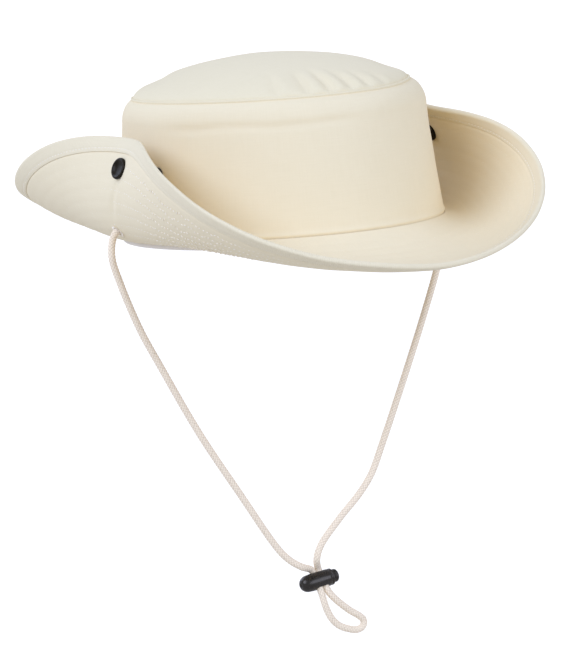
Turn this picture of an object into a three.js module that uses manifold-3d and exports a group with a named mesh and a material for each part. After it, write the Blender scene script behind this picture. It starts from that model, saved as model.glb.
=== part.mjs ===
// Outback hat of stiffened cotton canvas: an oval crown, a wide brim whose sides curl up into
// flaps, press snaps that fasten the flaps to the crown, and a chin cord with a cord lock.
//
// Millimetres, Z up. The wearer faces -Y, so the wearer's left hand is on the +X side.
// The origin is the middle of the head opening, level with the seam between crown and brim.
// Angles around the hat are in degrees from the front, positive towards +X.

import * as THREE from 'three';
import { mergeVertices } from 'three/addons/utils/BufferGeometryUtils.js';
import Module from 'manifold-3d';

const wasm = await Module();
wasm.setup();

// Clearance between two pieces that are sewn, pressed or threaded together.
const GAP = 0.3;
// Steps around every oval piece. Neighbours share them, so their gap stays even.
const STEPS_AROUND = 60;

// Head opening, measured outside the crown at the brim seam.
const HEAD_HALF_LENGTH = 100;
const HEAD_HALF_WIDTH = 85;

// Crown: a wall that tapers inwards, a rounded shoulder, and a domed top panel.
const CANVAS = 1.4;
const WALL_BOTTOM = -2;
const WALL_TAPER = 7;
const SHOULDER_START = 59;
const SHOULDER_RISE = 12;
const SHOULDER_INSET = 8;
const SHOULDER_STEPS = 4;
const SEAM_HEIGHT = SHOULDER_START + SHOULDER_RISE;
const SEAM_HALF_LENGTH = HEAD_HALF_LENGTH - WALL_TAPER - SHOULDER_INSET;
const SEAM_RIDGE_WIDTH = 1.5;
const SEAM_RIDGE_HEIGHT = 1.4;
const DOME_RISE = 19;
const DOME_FULLNESS = 0.67;
const DOME_RINGS = [0.35, 0.65, 0.85, 0.96];

// Sweatband: a soft white band inside the crown that hangs a little below the seam.
const SWEATBAND_TOP = 28;
const SWEATBAND_BOTTOM = -5;
const SWEATBAND_THICKNESS = 1.2;

// Brim: its width, and the slope of its cross-section in degrees, where it leaves the crown and
// at its edge. It starts flush on a vertical end and then thickens squarely.
const BRIM_WIDTH = 69;
const BRIM_THICKNESS = 2.4;
const BRIM_FLUSH_LENGTH = 10;
const BRIM_CURL = 0.7;
const BRIM_SLOPES = [
  { angle: 0, atCrown: -50, atEdge: 15 },
  { angle: 45, atCrown: -40, atEdge: 75 },
  { angle: 90, atCrown: 2, atEdge: 137 },
  { angle: 135, atCrown: -4, atEdge: 48 },
  { angle: 180, atCrown: -13, atEdge: 26 },
];
// The wearer's right flap is bent less sharply at its front than the left one: how much its slopes
// change, in degrees, and the angles where a change starts, is whole, starts to fade and ends.
const RIGHT_FLAP_AT_CROWN = { change: 8, start: -105, whole: -67, fading: -40, end: 9 };
const RIGHT_FLAP_AT_EDGE = { change: -15, start: -89, whole: -55, fading: -53, end: -5 };
const BRIM_STRIPS = 9;
const BRIM_ARC_STEP = 1.5;
// The turned-in edge band, thicker than the brim that it finishes.
const BAND_WIDTH = 9.5;
const BAND_THICKNESS = 3;

// Snaps: a cap and socket on each flap, and the stud on the crown that the socket presses onto.
const RIGHT_FLAP_SNAP = { angle: -82.5, fromEdge: 18 };
const LEFT_FLAP_SNAP = { angle: 92.5, fromEdge: 20.5 };
const RIGHT_STUD_ANGLE = -81;
const LEFT_STUD_ANGLE = 90;
const STUD_HEIGHT = 34;
const SNAP_POST_RADIUS = 1.8;
const SNAP_HOLE_RADIUS = 2.2;
const SNAP_SIDES = 16;
// How far the cap and the socket stand off flat cloth, so that their rims clear its curves.
const SNAP_LIFT = 0.8;
const CAP_RADIUS = 6;
const CAP_HEIGHT = 1.9;
const CAP_RIM_WIDTH = 1;
const CAP_DISH_RADIUS = 3.6;
const CAP_DISH_DEPTH = 1.2;
const SOCKET_RADIUS = 5.2;
const SOCKET_HEIGHT = 2.4;
const SOCKET_FLOOR = 0.6;
const SOCKET_ROUNDING = 1.1;
const STUD_PLATE_THICKNESS = 1;
const STUD_FLANGE_RADIUS = 4.6;
const STUD_FLANGE_CHAMFER = 0.4;
const STUD_NECK_RADIUS = 1.9;
const STUD_NECK_HEIGHT = 1.1;
const STUD_HEAD_RADIUS = 2.4;
const STUD_HEAD_HEIGHT = 2.1;

// Chin cord: one round braided cord that leaves the brim through a stitched hole on each side,
// hangs to the cord lock, passes through it twice and makes a small loop below it.
const CORD_RADIUS = 1.9;
const CORD_SIDES = 8;
const CORD_STEPS_PER_SPAN = 2;
const CORD_HOLE_RADIUS = 2.6;
const CORD_HOLE_ANGLE = 91;
const CORD_HOLE_FROM_SEAM = 15;
const CORD_STRAIGHT = 4.5;
const LOCK_STRAIGHT = 6.5;
const KNOT_RADIUS = 4.2;
const KNOT_HEIGHT = 6.4;
// The planes that the cord and its loop hang in, and the route in them, from the wearer's right,
// round the loop and up to the wearer's left.
const CORD_Y = -2;
const LOOP_Y = -6;
const CORD_ROUTE_RIGHT = [
  { x: -105.6, z: -7 },
  { x: -102.2, z: -21 },
  { x: -92.5, z: -48 },
  { x: -82.6, z: -68.5 },
  { x: -62, z: -109 },
  { x: -40.5, z: -145.2 },
  { x: -19.4, z: -179.6 },
  { x: -12.8, z: -187 },
  { x: -5.6, z: -192 },
];
const CORD_ROUTE_LOOP = [
  { x: 4.6, z: -212.4 },
  { x: 6.2, z: -217.9 },
  { x: 8.9, z: -223.3 },
  { x: 13.2, z: -227.8 },
  { x: 18.8, z: -230.6 },
  { x: 24.4, z: -232 },
  { x: 28, z: -230.8 },
  { x: 29, z: -227.6 },
  { x: 26.6, z: -224.7 },
  { x: 20.6, z: -220.4 },
  { x: 10.9, z: -211.4 },
];
const CORD_ROUTE_LEFT = [
  { x: 4.6, z: -188.8 },
  { x: 7.8, z: -182 },
  { x: 21, z: -168.9 },
  { x: 34.9, z: -157 },
  { x: 43.3, z: -147.4 },
  { x: 51, z: -133.2 },
  { x: 82.3, z: -69.2 },
  { x: 95.9, z: -38.5 },
  { x: 102.6, z: -20.5 },
  { x: 105.6, z: -7 },
];

// Cord lock: a barrel, closed at the wearer's right, with a sprung plunger in its open end.
const LOCK_CENTRE = new THREE.Vector3(4.9, CORD_Y, -201.3);
const LOCK_TILT = THREE.MathUtils.degToRad(6);
const BARREL_START = -11.7;
const BARREL_END = 8;
const BARREL_RADIUS = 5;
const BARREL_END_RADIUS = 4.6;
const BARREL_ROUNDING = 3;
const BARREL_ROUNDING_STEPS = 3;
const BARREL_FLOOR = 3;
const BORE_RADIUS = 4;
const LOCK_SIDES = 20;
// The cross hole takes both strands side by side along the barrel. It leans, so that the strands
// go in behind the barrel and come out below its front.
const HOLE_LEAN = THREE.MathUtils.degToRad(30);
const STRAND_SPACING = 4.1;
const CROSS_HOLE_MIDDLE = 0.3;
const CROSS_HOLE_LENGTH = 8.6;
const CROSS_HOLE_WIDTH = 4.7;
const PLUNGER_RADIUS = BORE_RADIUS - GAP;
const PLUNGER_TRAVEL = 2.5;
const PLUNGER_TIP = 11.7;
const PLUNGER_BRIDGE = 1.3;
const PLUNGER_DOME_RISE = 1.2;

const canvasCloth = { color: 0xe6dfcd, roughness: 0.95, metalness: 0 };
const whiteCloth = { color: 0xe9e8e6, roughness: 0.95, metalness: 0 };
const cordCotton = { color: 0xe8dcd0, roughness: 0.95, metalness: 0 };
const blackEnamel = { color: 0x17181a, roughness: 0.35, metalness: 0.6 };
const blackPlastic = { color: 0x1b1c1d, roughness: 0.45, metalness: 0 };

const AXIS_Y = new THREE.Vector3(0, 1, 0);
const AXIS_Z = new THREE.Vector3(0, 0, 1);

const group = new THREE.Group();

function addPiece(name, geometry, look) {
  const mesh = new THREE.Mesh(geometry, new THREE.MeshStandardMaterial(look));
  mesh.name = name;
  group.add(mesh);
  return mesh;
}

// A closed geometry as a solid that can be cut.
function toSolid(geometry) {
  const bare = geometry.clone();
  bare.deleteAttribute('normal');
  bare.deleteAttribute('uv');
  const merged = mergeVertices(bare, 1e-4);
  const corners = merged.index.array;
  const triangles = [];
  for (let first = 0; first < corners.length; first += 3) {
    const [a, b, c] = corners.slice(first, first + 3);
    if (a !== b && b !== c && c !== a) {
      triangles.push(a, b, c);
    }
  }
  return new wasm.Manifold(new wasm.Mesh({
    numProp: 3,
    vertProperties: new Float32Array(merged.getAttribute('position').array),
    triVerts: new Uint32Array(triangles),
  }));
}

// The geometry that is left after each tool is cut out of the body.
function cutAway(body, tools) {
  let solid = toSolid(body);
  for (const tool of tools) {
    solid = solid.subtract(toSolid(tool));
  }
  const mesh = solid.getMesh();
  const geometry = new THREE.BufferGeometry();
  geometry.setAttribute('position', new THREE.BufferAttribute(mesh.vertProperties, 3));
  geometry.setIndex(new THREE.BufferAttribute(mesh.triVerts, 1));
  geometry.computeVertexNormals();
  return geometry;
}

// A round profile of {along, radius} points, turned about Z.
function turned(points, sides) {
  const profile = points.map((point) => new THREE.Vector2(point.radius, point.along));
  return new THREE.LatheGeometry(profile, sides).rotateX(Math.PI / 2);
}

// The same, squeezed sideways into the oval of the head. The radius is the half-length.
function turnedOval(points) {
  return turned(points, STEPS_AROUND).scale(HEAD_HALF_WIDTH / HEAD_HALF_LENGTH, 1, 1);
}

// A rod along a direction, used to cut a round hole at a place.
function holeTool(place, direction, radius, length) {
  const turn = new THREE.Quaternion().setFromUnitVectors(AXIS_Y, direction);
  const rod = new THREE.CylinderGeometry(radius, radius, length, SNAP_SIDES);
  return rod.applyQuaternion(turn).translate(place.x, place.y, place.z);
}

// Half-length of the crown's outer face at a height below the shoulder.
function wallRadius(height) {
  return HEAD_HALF_LENGTH - WALL_TAPER * Math.max(height, 0) / SHOULDER_START;
}

// Crown wall profile at a depth inside its outer face, from the bottom up to the top seam.
function wallProfile(depth) {
  const points = [
    { along: WALL_BOTTOM, radius: HEAD_HALF_LENGTH - depth },
    { along: 0, radius: HEAD_HALF_LENGTH - depth },
    { along: SHOULDER_START / 2, radius: wallRadius(SHOULDER_START / 2) - depth },
  ];
  for (let step = 0; step <= SHOULDER_STEPS; step += 1) {
    const bend = Math.PI / 2 * step / SHOULDER_STEPS;
    points.push({
      along: SHOULDER_START + (SHOULDER_RISE - depth) * Math.sin(bend),
      radius: SEAM_HALF_LENGTH + (SHOULDER_INSET - depth) * Math.cos(bend),
    });
  }
  return points;
}

// Where the stud goes on the crown wall, and the direction straight out of the cloth there.
function studPlace(side) {
  const angle = THREE.MathUtils.degToRad(side < 0 ? RIGHT_STUD_ANGLE : LEFT_STUD_ANGLE);
  const squeeze = HEAD_HALF_WIDTH / HEAD_HALF_LENGTH;
  const radius = wallRadius(STUD_HEIGHT);
  const outward = new THREE.Vector3(Math.sin(angle) / squeeze, -Math.cos(angle), 0).normalize();
  outward.z = WALL_TAPER / SHOULDER_START;
  outward.normalize();
  const point = new THREE.Vector3(
    Math.sin(angle) * radius * squeeze,
    -Math.cos(angle) * radius,
    STUD_HEIGHT,
  );
  return { point, outward };
}

function addCrown() {
  const outside = wallProfile(0);
  const inside = wallProfile(CANVAS).reverse();
  const wall = turnedOval([...outside, ...inside, outside[0]]);
  const studHoles = [-1, 1].map((side) => {
    const { point, outward } = studPlace(side);
    return holeTool(point, outward, SNAP_HOLE_RADIUS, 4 * CANVAS);
  });
  addPiece('crown_side', cutAway(wall, studHoles), canvasCloth);

  const ridgeBottom = SEAM_HEIGHT + GAP;
  const domeBase = ridgeBottom + CANVAS;
  const domeHeight = (ring) => Math.pow(1 - ring * ring, DOME_FULLNESS);
  const inner = DOME_RINGS.map((ring) => ({
    along: ridgeBottom + DOME_RISE * domeHeight(ring),
    radius: (SEAM_HALF_LENGTH - CANVAS) * ring,
  }));
  const outer = DOME_RINGS.map((ring) => ({
    along: domeBase + DOME_RISE * domeHeight(ring),
    radius: SEAM_HALF_LENGTH * ring,
  })).reverse();
  const dome = turnedOval([
    { along: ridgeBottom + DOME_RISE, radius: 0 },
    ...inner,
    { along: ridgeBottom, radius: SEAM_HALF_LENGTH - CANVAS },
    { along: ridgeBottom, radius: SEAM_HALF_LENGTH + SEAM_RIDGE_WIDTH },
    { along: ridgeBottom + SEAM_RIDGE_HEIGHT, radius: SEAM_HALF_LENGTH + SEAM_RIDGE_WIDTH },
    { along: ridgeBottom + SEAM_RIDGE_HEIGHT, radius: SEAM_HALF_LENGTH },
    ...outer,
    { along: domeBase + DOME_RISE, radius: 0 },
  ]);
  addPiece('crown_top', dome, canvasCloth);
}

function addSweatband() {
  const face = (depth) => [
    { along: SWEATBAND_BOTTOM, radius: wallRadius(0) - depth },
    { along: 0, radius: wallRadius(0) - depth },
    { along: SWEATBAND_TOP, radius: wallRadius(SWEATBAND_TOP) - depth },
  ];
  const outside = face(CANVAS + GAP);
  const inside = face(CANVAS + GAP + SWEATBAND_THICKNESS).reverse();
  addPiece('sweatband', turnedOval([...outside, ...inside, outside[0]]), whiteCloth);
}

// A smooth even curve round the hat through five values at 0, 45, 90, 135 and 180 degrees: the
// cosine series that meets them all.
function roundTheHat(values, angle) {
  const last = values.length - 1;
  const half = (index) => (index === 0 || index === last ? 0.5 : 1);
  let total = 0;
  for (let wave = 0; wave <= last; wave += 1) {
    let weight = 0;
    values.forEach((value, station) => {
      weight += half(station) * value * Math.cos(Math.PI * wave * station / last);
    });
    total += half(wave) * weight * Math.cos(wave * angle) * 2 / last;
  }
  return total;
}

// How much a slope of the right flap changes at an angle, both in degrees.
function flapChange({ change, start, whole, fading, end }, angle) {
  const rising = THREE.MathUtils.smoothstep(angle, start, whole);
  return change * rising * (1 - THREE.MathUtils.smoothstep(angle, fading, end));
}

// The brim's middle surface at an angle and a distance from the crown seam, with the direction
// across its thickness, up or towards the crown.
function brimPlace(angle, distance) {
  const degrees = THREE.MathUtils.radToDeg(Math.atan2(Math.sin(angle), Math.cos(angle)));
  const atCrown = roundTheHat(BRIM_SLOPES.map((row) => row.atCrown), angle)
    + flapChange(RIGHT_FLAP_AT_CROWN, degrees);
  const atEdge = roundTheHat(BRIM_SLOPES.map((row) => row.atEdge), angle)
    + flapChange(RIGHT_FLAP_AT_EDGE, degrees);
  const slopeAt = (run) => THREE.MathUtils.degToRad(
    atCrown + (atEdge - atCrown) * Math.pow(run / BRIM_WIDTH, BRIM_CURL),
  );
  const steps = Math.max(1, Math.ceil(distance / BRIM_ARC_STEP));
  const step = distance / steps;
  let out = GAP;
  let height = -BRIM_THICKNESS / 2;
  for (let count = 0; count < steps; count += 1) {
    const slope = slopeAt((count + 0.5) * step);
    out += Math.cos(slope) * step;
    height += Math.sin(slope) * step;
  }
  const outward = new THREE.Vector3(
    Math.sin(angle) / HEAD_HALF_WIDTH,
    -Math.cos(angle) / HEAD_HALF_LENGTH,
    0,
  ).normalize();
  const point = new THREE.Vector3(
    Math.sin(angle) * HEAD_HALF_WIDTH,
    -Math.cos(angle) * HEAD_HALF_LENGTH,
    height,
  ).addScaledVector(outward, out);
  const slope = slopeAt(distance);
  const square = new THREE.Vector3(0, 0, Math.cos(slope)).addScaledVector(outward, -Math.sin(slope));
  const thicken = THREE.MathUtils.smoothstep(distance, 0, BRIM_FLUSH_LENGTH);
  const across = AXIS_Z.clone().lerp(square, thicken).normalize();
  return { point, across };
}

// A sheet of the brim: a closed profile of {distance, across} points carried round the hat.
function brimSheet(profile) {
  const closed = [...profile, profile[0]];
  const rows = closed.map((corner) => new THREE.Vector2(corner.distance, corner.across));
  const geometry = new THREE.LatheGeometry(rows, STEPS_AROUND);
  const position = geometry.getAttribute('position');
  for (let turn = 0; turn <= STEPS_AROUND; turn += 1) {
    const angle = 2 * Math.PI * (turn % STEPS_AROUND) / STEPS_AROUND;
    closed.forEach((corner, row) => {
      const place = brimPlace(angle, corner.distance);
      const spot = place.point.addScaledVector(place.across, corner.across);
      position.setXYZ(turn * closed.length + row, spot.x, spot.y, spot.z);
    });
  }
  return geometry;
}

function addBrim() {
  const innerWidth = BRIM_WIDTH - BAND_WIDTH - GAP / 2;
  const top = [];
  for (let strip = 0; strip <= BRIM_STRIPS; strip += 1) {
    top.push({ distance: innerWidth * strip / BRIM_STRIPS, across: BRIM_THICKNESS / 2 });
  }
  const under = top.map((corner) => ({ distance: corner.distance, across: -corner.across }));
  const holes = [-1, 1].flatMap((side) => {
    const snap = flapSnapPlace(side);
    const cord = cordHolePlace(side);
    return [
      holeTool(snap.point, snap.across, SNAP_HOLE_RADIUS, 3 * BRIM_THICKNESS),
      holeTool(cord.point, cord.across, CORD_HOLE_RADIUS, 3 * BRIM_THICKNESS),
    ];
  });
  addPiece('brim', cutAway(brimSheet([...under, ...top.reverse()]), holes), canvasCloth);

  const start = BRIM_WIDTH - BAND_WIDTH + GAP / 2;
  const half = BAND_THICKNESS / 2;
  const faceEnd = BRIM_WIDTH - half;
  const cornerEnd = BRIM_WIDTH - half * (1 - Math.SQRT1_2);
  addPiece('brim_edge_band', brimSheet([
    { distance: start, across: -half },
    { distance: faceEnd, across: -half },
    { distance: cornerEnd, across: -half * Math.SQRT1_2 },
    { distance: BRIM_WIDTH, across: 0 },
    { distance: cornerEnd, across: half * Math.SQRT1_2 },
    { distance: faceEnd, across: half },
    { distance: start, across: half },
  ]), canvasCloth);
}

function flapSnapPlace(side) {
  const { angle, fromEdge } = side < 0 ? RIGHT_FLAP_SNAP : LEFT_FLAP_SNAP;
  return brimPlace(THREE.MathUtils.degToRad(angle), BRIM_WIDTH - fromEdge);
}

function cordHolePlace(side) {
  return brimPlace(THREE.MathUtils.degToRad(CORD_HOLE_ANGLE) * side, CORD_HOLE_FROM_SEAM);
}

// Puts a piece that is turned about Z at a place, with its Z axis along a direction.
function setUpon(mesh, place, direction) {
  mesh.position.copy(place);
  mesh.quaternion.setFromUnitVectors(AXIS_Z, direction);
}

// Flap snap: a dished cap under the brim, a post through it and a socket ring on the crown side.
function addFlapSnap(name, side) {
  const socket = BRIM_THICKNESS / 2 + GAP + SNAP_LIFT;
  const cap = -socket;
  const geometry = turned([
    { along: cap - CAP_HEIGHT + CAP_DISH_DEPTH, radius: 0 },
    { along: cap - CAP_HEIGHT + CAP_DISH_DEPTH, radius: CAP_DISH_RADIUS },
    { along: cap - CAP_HEIGHT, radius: CAP_RADIUS - CAP_RIM_WIDTH },
    { along: cap - CAP_HEIGHT + CAP_RIM_WIDTH, radius: CAP_RADIUS },
    { along: cap, radius: CAP_RADIUS },
    { along: cap, radius: SNAP_POST_RADIUS },
    { along: socket, radius: SNAP_POST_RADIUS },
    { along: socket, radius: SOCKET_RADIUS },
    { along: socket + SOCKET_HEIGHT - SOCKET_ROUNDING, radius: SOCKET_RADIUS },
    { along: socket + SOCKET_HEIGHT, radius: SOCKET_RADIUS - SOCKET_ROUNDING },
    { along: socket + SOCKET_HEIGHT, radius: STUD_HEAD_RADIUS + GAP },
    { along: socket + SOCKET_FLOOR, radius: STUD_HEAD_RADIUS + GAP },
    { along: socket + SOCKET_FLOOR, radius: 0 },
  ], SNAP_SIDES);
  const place = flapSnapPlace(side);
  setUpon(addPiece(name, geometry, blackEnamel), place.point, place.across);
}

// Crown stud: a flange and ball head outside the wall, and a back plate inside it.
function addStud(name, side) {
  const inside = -CANVAS - GAP;
  const flangeEdge = STUD_FLANGE_RADIUS - STUD_FLANGE_CHAMFER;
  const headStart = GAP + STUD_NECK_HEIGHT;
  const geometry = turned([
    { along: inside - STUD_PLATE_THICKNESS, radius: 0 },
    { along: inside - STUD_PLATE_THICKNESS, radius: flangeEdge },
    { along: inside, radius: STUD_FLANGE_RADIUS },
    { along: inside, radius: SNAP_POST_RADIUS },
    { along: GAP, radius: SNAP_POST_RADIUS },
    { along: GAP, radius: STUD_FLANGE_RADIUS },
    { along: GAP + STUD_PLATE_THICKNESS, radius: flangeEdge },
    { along: headStart, radius: STUD_NECK_RADIUS },
    { along: headStart + STUD_HEAD_HEIGHT * 0.4, radius: STUD_HEAD_RADIUS },
    { along: headStart + STUD_HEAD_HEIGHT * 0.85, radius: STUD_HEAD_RADIUS * 0.85 },
    { along: headStart + STUD_HEAD_HEIGHT, radius: 0 },
  ], SNAP_SIDES);
  const { point, outward } = studPlace(side);
  setUpon(addPiece(name, geometry, blackEnamel), point, outward);
}

// A point on one strand's straight way through the cord lock, above or below its middle.
function lockPoint(along, below) {
  const drop = Math.cos(HOLE_LEAN) * below;
  return new THREE.Vector3(
    Math.cos(LOCK_TILT) * along + Math.sin(LOCK_TILT) * drop,
    -Math.sin(HOLE_LEAN) * below,
    Math.sin(LOCK_TILT) * along - Math.cos(LOCK_TILT) * drop,
  ).add(LOCK_CENTRE);
}

// A smooth curve whose steps are shared out evenly between its points, not by length, so that
// each point of a route gets a step of its own.
class RouteCurve extends THREE.CatmullRomCurve3 {
  getUtoTmapping(fraction) {
    return fraction;
  }
}

function addCord() {
  const hanging = (route, y) => route.map(({ x, z }) => new THREE.Vector3(x, y, z));
  const end = (side) => {
    const { point, across } = cordHolePlace(side);
    const knotFace = BRIM_THICKNESS / 2 + GAP;
    return [
      point.clone().addScaledVector(across, knotFace),
      point.clone().addScaledVector(across, -CORD_STRAIGHT),
    ];
  };
  const strand = (offset) => {
    const along = CROSS_HOLE_MIDDLE + offset * STRAND_SPACING / 2;
    return [-LOCK_STRAIGHT, 0, LOCK_STRAIGHT].map((below) => lockPoint(along, below));
  };
  const route = [
    ...end(-1),
    ...hanging(CORD_ROUTE_RIGHT, CORD_Y),
    ...strand(-1),
    ...hanging(CORD_ROUTE_LOOP, LOOP_Y),
    ...strand(1).reverse(),
    ...hanging(CORD_ROUTE_LEFT, CORD_Y),
    ...end(1).reverse(),
  ];
  const path = new RouteCurve(route, false, 'centripetal');
  const steps = CORD_STEPS_PER_SPAN * (route.length - 1);
  const section = new THREE.Shape();
  for (let corner = 0; corner < CORD_SIDES; corner += 1) {
    const angle = 2 * Math.PI * corner / CORD_SIDES;
    const [x, y] = [CORD_RADIUS * Math.cos(angle), CORD_RADIUS * Math.sin(angle)];
    if (corner === 0) {
      section.moveTo(x, y);
    } else {
      section.lineTo(x, y);
    }
  }
  section.closePath();
  const tube = new THREE.ExtrudeGeometry(section, { extrudePath: path, steps });
  addPiece('chin_cord', tube, cordCotton);
}

// The stopper knot that keeps a cord end from slipping down through its hole.
function addKnot(name, side) {
  const { point, across } = cordHolePlace(side);
  const geometry = turned([
    { along: 0, radius: 0 },
    { along: 0, radius: KNOT_RADIUS * 0.7 },
    { along: KNOT_HEIGHT * 0.25, radius: KNOT_RADIUS },
    { along: KNOT_HEIGHT * 0.65, radius: KNOT_RADIUS },
    { along: KNOT_HEIGHT * 0.95, radius: KNOT_RADIUS * 0.55 },
    { along: KNOT_HEIGHT, radius: 0 },
  ], SNAP_SIDES);
  const foot = point.clone().addScaledVector(across, BRIM_THICKNESS / 2 + 2 * GAP);
  setUpon(addPiece(name, geometry, cordCotton), foot, across);
}

// A stadium-shaped rod for the cross holes, between two places along Z. It runs along X, less the
// lean of the hole.
function crossHoleTool(from, to) {
  const half = CROSS_HOLE_WIDTH / 2;
  const outline = new THREE.Shape();
  outline.absarc(0, to - half, half, 0, Math.PI, false);
  outline.absarc(0, from + half, half, Math.PI, 2 * Math.PI, false);
  outline.closePath();
  const depth = 4 * BARREL_RADIUS;
  const rod = new THREE.ExtrudeGeometry(outline, { depth, bevelEnabled: false, curveSegments: 5 });
  return rod.translate(0, 0, -depth / 2).rotateX(Math.PI / 2).rotateZ(Math.PI / 2 - HOLE_LEAN);
}

// Both pieces are turned about Z and cut along X, then laid over so that Z runs along the barrel.
function addCordLock() {
  const holeStart = CROSS_HOLE_MIDDLE - CROSS_HOLE_LENGTH / 2;
  const holeEnd = CROSS_HOLE_MIDDLE + CROSS_HOLE_LENGTH / 2;
  const closedEnd = [];
  for (let step = 0; step <= BARREL_ROUNDING_STEPS; step += 1) {
    const bend = Math.PI / 2 * step / BARREL_ROUNDING_STEPS;
    closedEnd.push({
      along: BARREL_START + BARREL_ROUNDING * (1 - Math.cos(bend)),
      radius: BARREL_END_RADIUS - BARREL_ROUNDING * (1 - Math.sin(bend)),
    });
  }
  const barrel = turned([
    { along: BARREL_START, radius: 0 },
    ...closedEnd,
    { along: (BARREL_START + BARREL_END) / 2, radius: BARREL_RADIUS },
    { along: BARREL_END, radius: BARREL_END_RADIUS },
    { along: BARREL_END, radius: BORE_RADIUS },
    { along: BARREL_START + BARREL_FLOOR, radius: BORE_RADIUS },
    { along: BARREL_START + BARREL_FLOOR, radius: 0 },
  ], LOCK_SIDES);
  const slotStart = holeStart - GAP;
  const slotEnd = holeEnd + PLUNGER_TRAVEL + GAP;
  const plunger = turned([
    { along: slotStart - PLUNGER_BRIDGE, radius: 0 },
    { along: slotStart - PLUNGER_BRIDGE, radius: PLUNGER_RADIUS },
    { along: PLUNGER_TIP - PLUNGER_DOME_RISE, radius: PLUNGER_RADIUS },
    { along: PLUNGER_TIP - PLUNGER_DOME_RISE / 4, radius: PLUNGER_RADIUS * 0.7 },
    { along: PLUNGER_TIP, radius: 0 },
  ], LOCK_SIDES);
  const lay = new THREE.Quaternion().setFromUnitVectors(
    AXIS_Z,
    new THREE.Vector3(Math.cos(LOCK_TILT), 0, Math.sin(LOCK_TILT)),
  );
  const pieces = [
    addPiece('cord_lock_barrel', cutAway(barrel, [crossHoleTool(holeStart, holeEnd)]), blackPlastic),
    addPiece('cord_lock_plunger', cutAway(plunger, [crossHoleTool(slotStart, slotEnd)]), blackPlastic),
  ];
  for (const piece of pieces) {
    piece.position.copy(LOCK_CENTRE);
    piece.quaternion.copy(lay);
  }
}

addCrown();
addSweatband();
addBrim();
addFlapSnap('flap_snap_right', -1);
addFlapSnap('flap_snap_left', 1);
addStud('crown_stud_right', -1);
addStud('crown_stud_left', 1);
addCord();
addKnot('cord_knot_right', -1);
addKnot('cord_knot_left', 1);
addCordLock();

export default group;
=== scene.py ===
"""Outback hat of stiffened cotton canvas, dressed on its frame.

Metres, Z up, and the wearer faces -Y. Angles round the hat are measured from the front, positive
towards the wearer's left, +X.
"""

import bisect
import math
import random

import bmesh
import bpy
from mathutils import Matrix, Vector, noise
from mathutils.kdtree import KDTree


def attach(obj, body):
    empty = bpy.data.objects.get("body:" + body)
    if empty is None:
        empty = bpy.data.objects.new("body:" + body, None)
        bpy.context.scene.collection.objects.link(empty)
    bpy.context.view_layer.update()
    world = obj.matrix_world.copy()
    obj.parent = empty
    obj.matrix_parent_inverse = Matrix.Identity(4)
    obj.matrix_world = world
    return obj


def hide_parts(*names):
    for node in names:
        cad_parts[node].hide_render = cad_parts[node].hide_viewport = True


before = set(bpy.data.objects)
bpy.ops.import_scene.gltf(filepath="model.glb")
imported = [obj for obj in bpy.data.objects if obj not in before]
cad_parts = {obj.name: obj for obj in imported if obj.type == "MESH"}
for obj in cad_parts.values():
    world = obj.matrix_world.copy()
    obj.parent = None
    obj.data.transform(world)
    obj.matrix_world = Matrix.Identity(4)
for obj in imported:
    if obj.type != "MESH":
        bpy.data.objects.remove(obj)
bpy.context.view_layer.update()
scene = bpy.context.scene
random.seed(7)

# ------------------------------
# Camera: a long lens at the wearer's right front, a little above the brim, rolled a few degrees.
VIEW_SIDE = math.radians(-29)
VIEW_RISE = math.radians(4.51)
VIEW_DISTANCE = 2.0
ORBIT_CENTRE = Vector((0, 0, 0.045))
AIM_ASIDE = -0.003226
AIM_HEIGHT = -0.06092
VIEW_ROLL = math.radians(4.532)
LENS = 199.376

eye = ORBIT_CENTRE + VIEW_DISTANCE * Vector((
    math.sin(VIEW_SIDE) * math.cos(VIEW_RISE),
    -math.cos(VIEW_SIDE) * math.cos(VIEW_RISE),
    math.sin(VIEW_RISE),
))
aim = Vector((math.cos(VIEW_SIDE), math.sin(VIEW_SIDE), 0)) * AIM_ASIDE + Vector((0, 0, AIM_HEIGHT))
backwards = (eye - aim).normalized()
level = Vector((0, 0, 1)).cross(backwards).normalized()
upright = backwards.cross(level)
camera_right = level * math.cos(VIEW_ROLL) - upright * math.sin(VIEW_ROLL)
camera_up = level * math.sin(VIEW_ROLL) + upright * math.cos(VIEW_ROLL)

camera = bpy.data.objects.new("camera", bpy.data.cameras.new("camera"))
camera.data.lens = LENS
camera.data.sensor_width = 36
camera.data.clip_start = 0.05
camera.data.clip_end = 200
camera.matrix_world = Matrix((
    (camera_right.x, camera_up.x, backwards.x, eye.x),
    (camera_right.y, camera_up.y, backwards.y, eye.y),
    (camera_right.z, camera_up.z, backwards.z, eye.z),
    (0, 0, 0, 1),
))
scene.collection.objects.link(camera)
scene.camera = camera

# ------------------------------
# Chin cord: one round braided cotton cord, 3.8 mm thick. Each end comes up through a stitched
# hole in the brim to a stopper knot, and its middle goes twice through the cord lock.
CORD_RADIUS = 0.0019
CORD_SIDES = 32
CORD_RING_STEP = 0.0004
BRAID_STRANDS = 6
BRAID_TURN = 0.0115
BRAID_DEPTH = 0.00034
BRAID_MIDDLE = 0.6
CURVE_PARTS = 24
WELD = 1e-6

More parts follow.
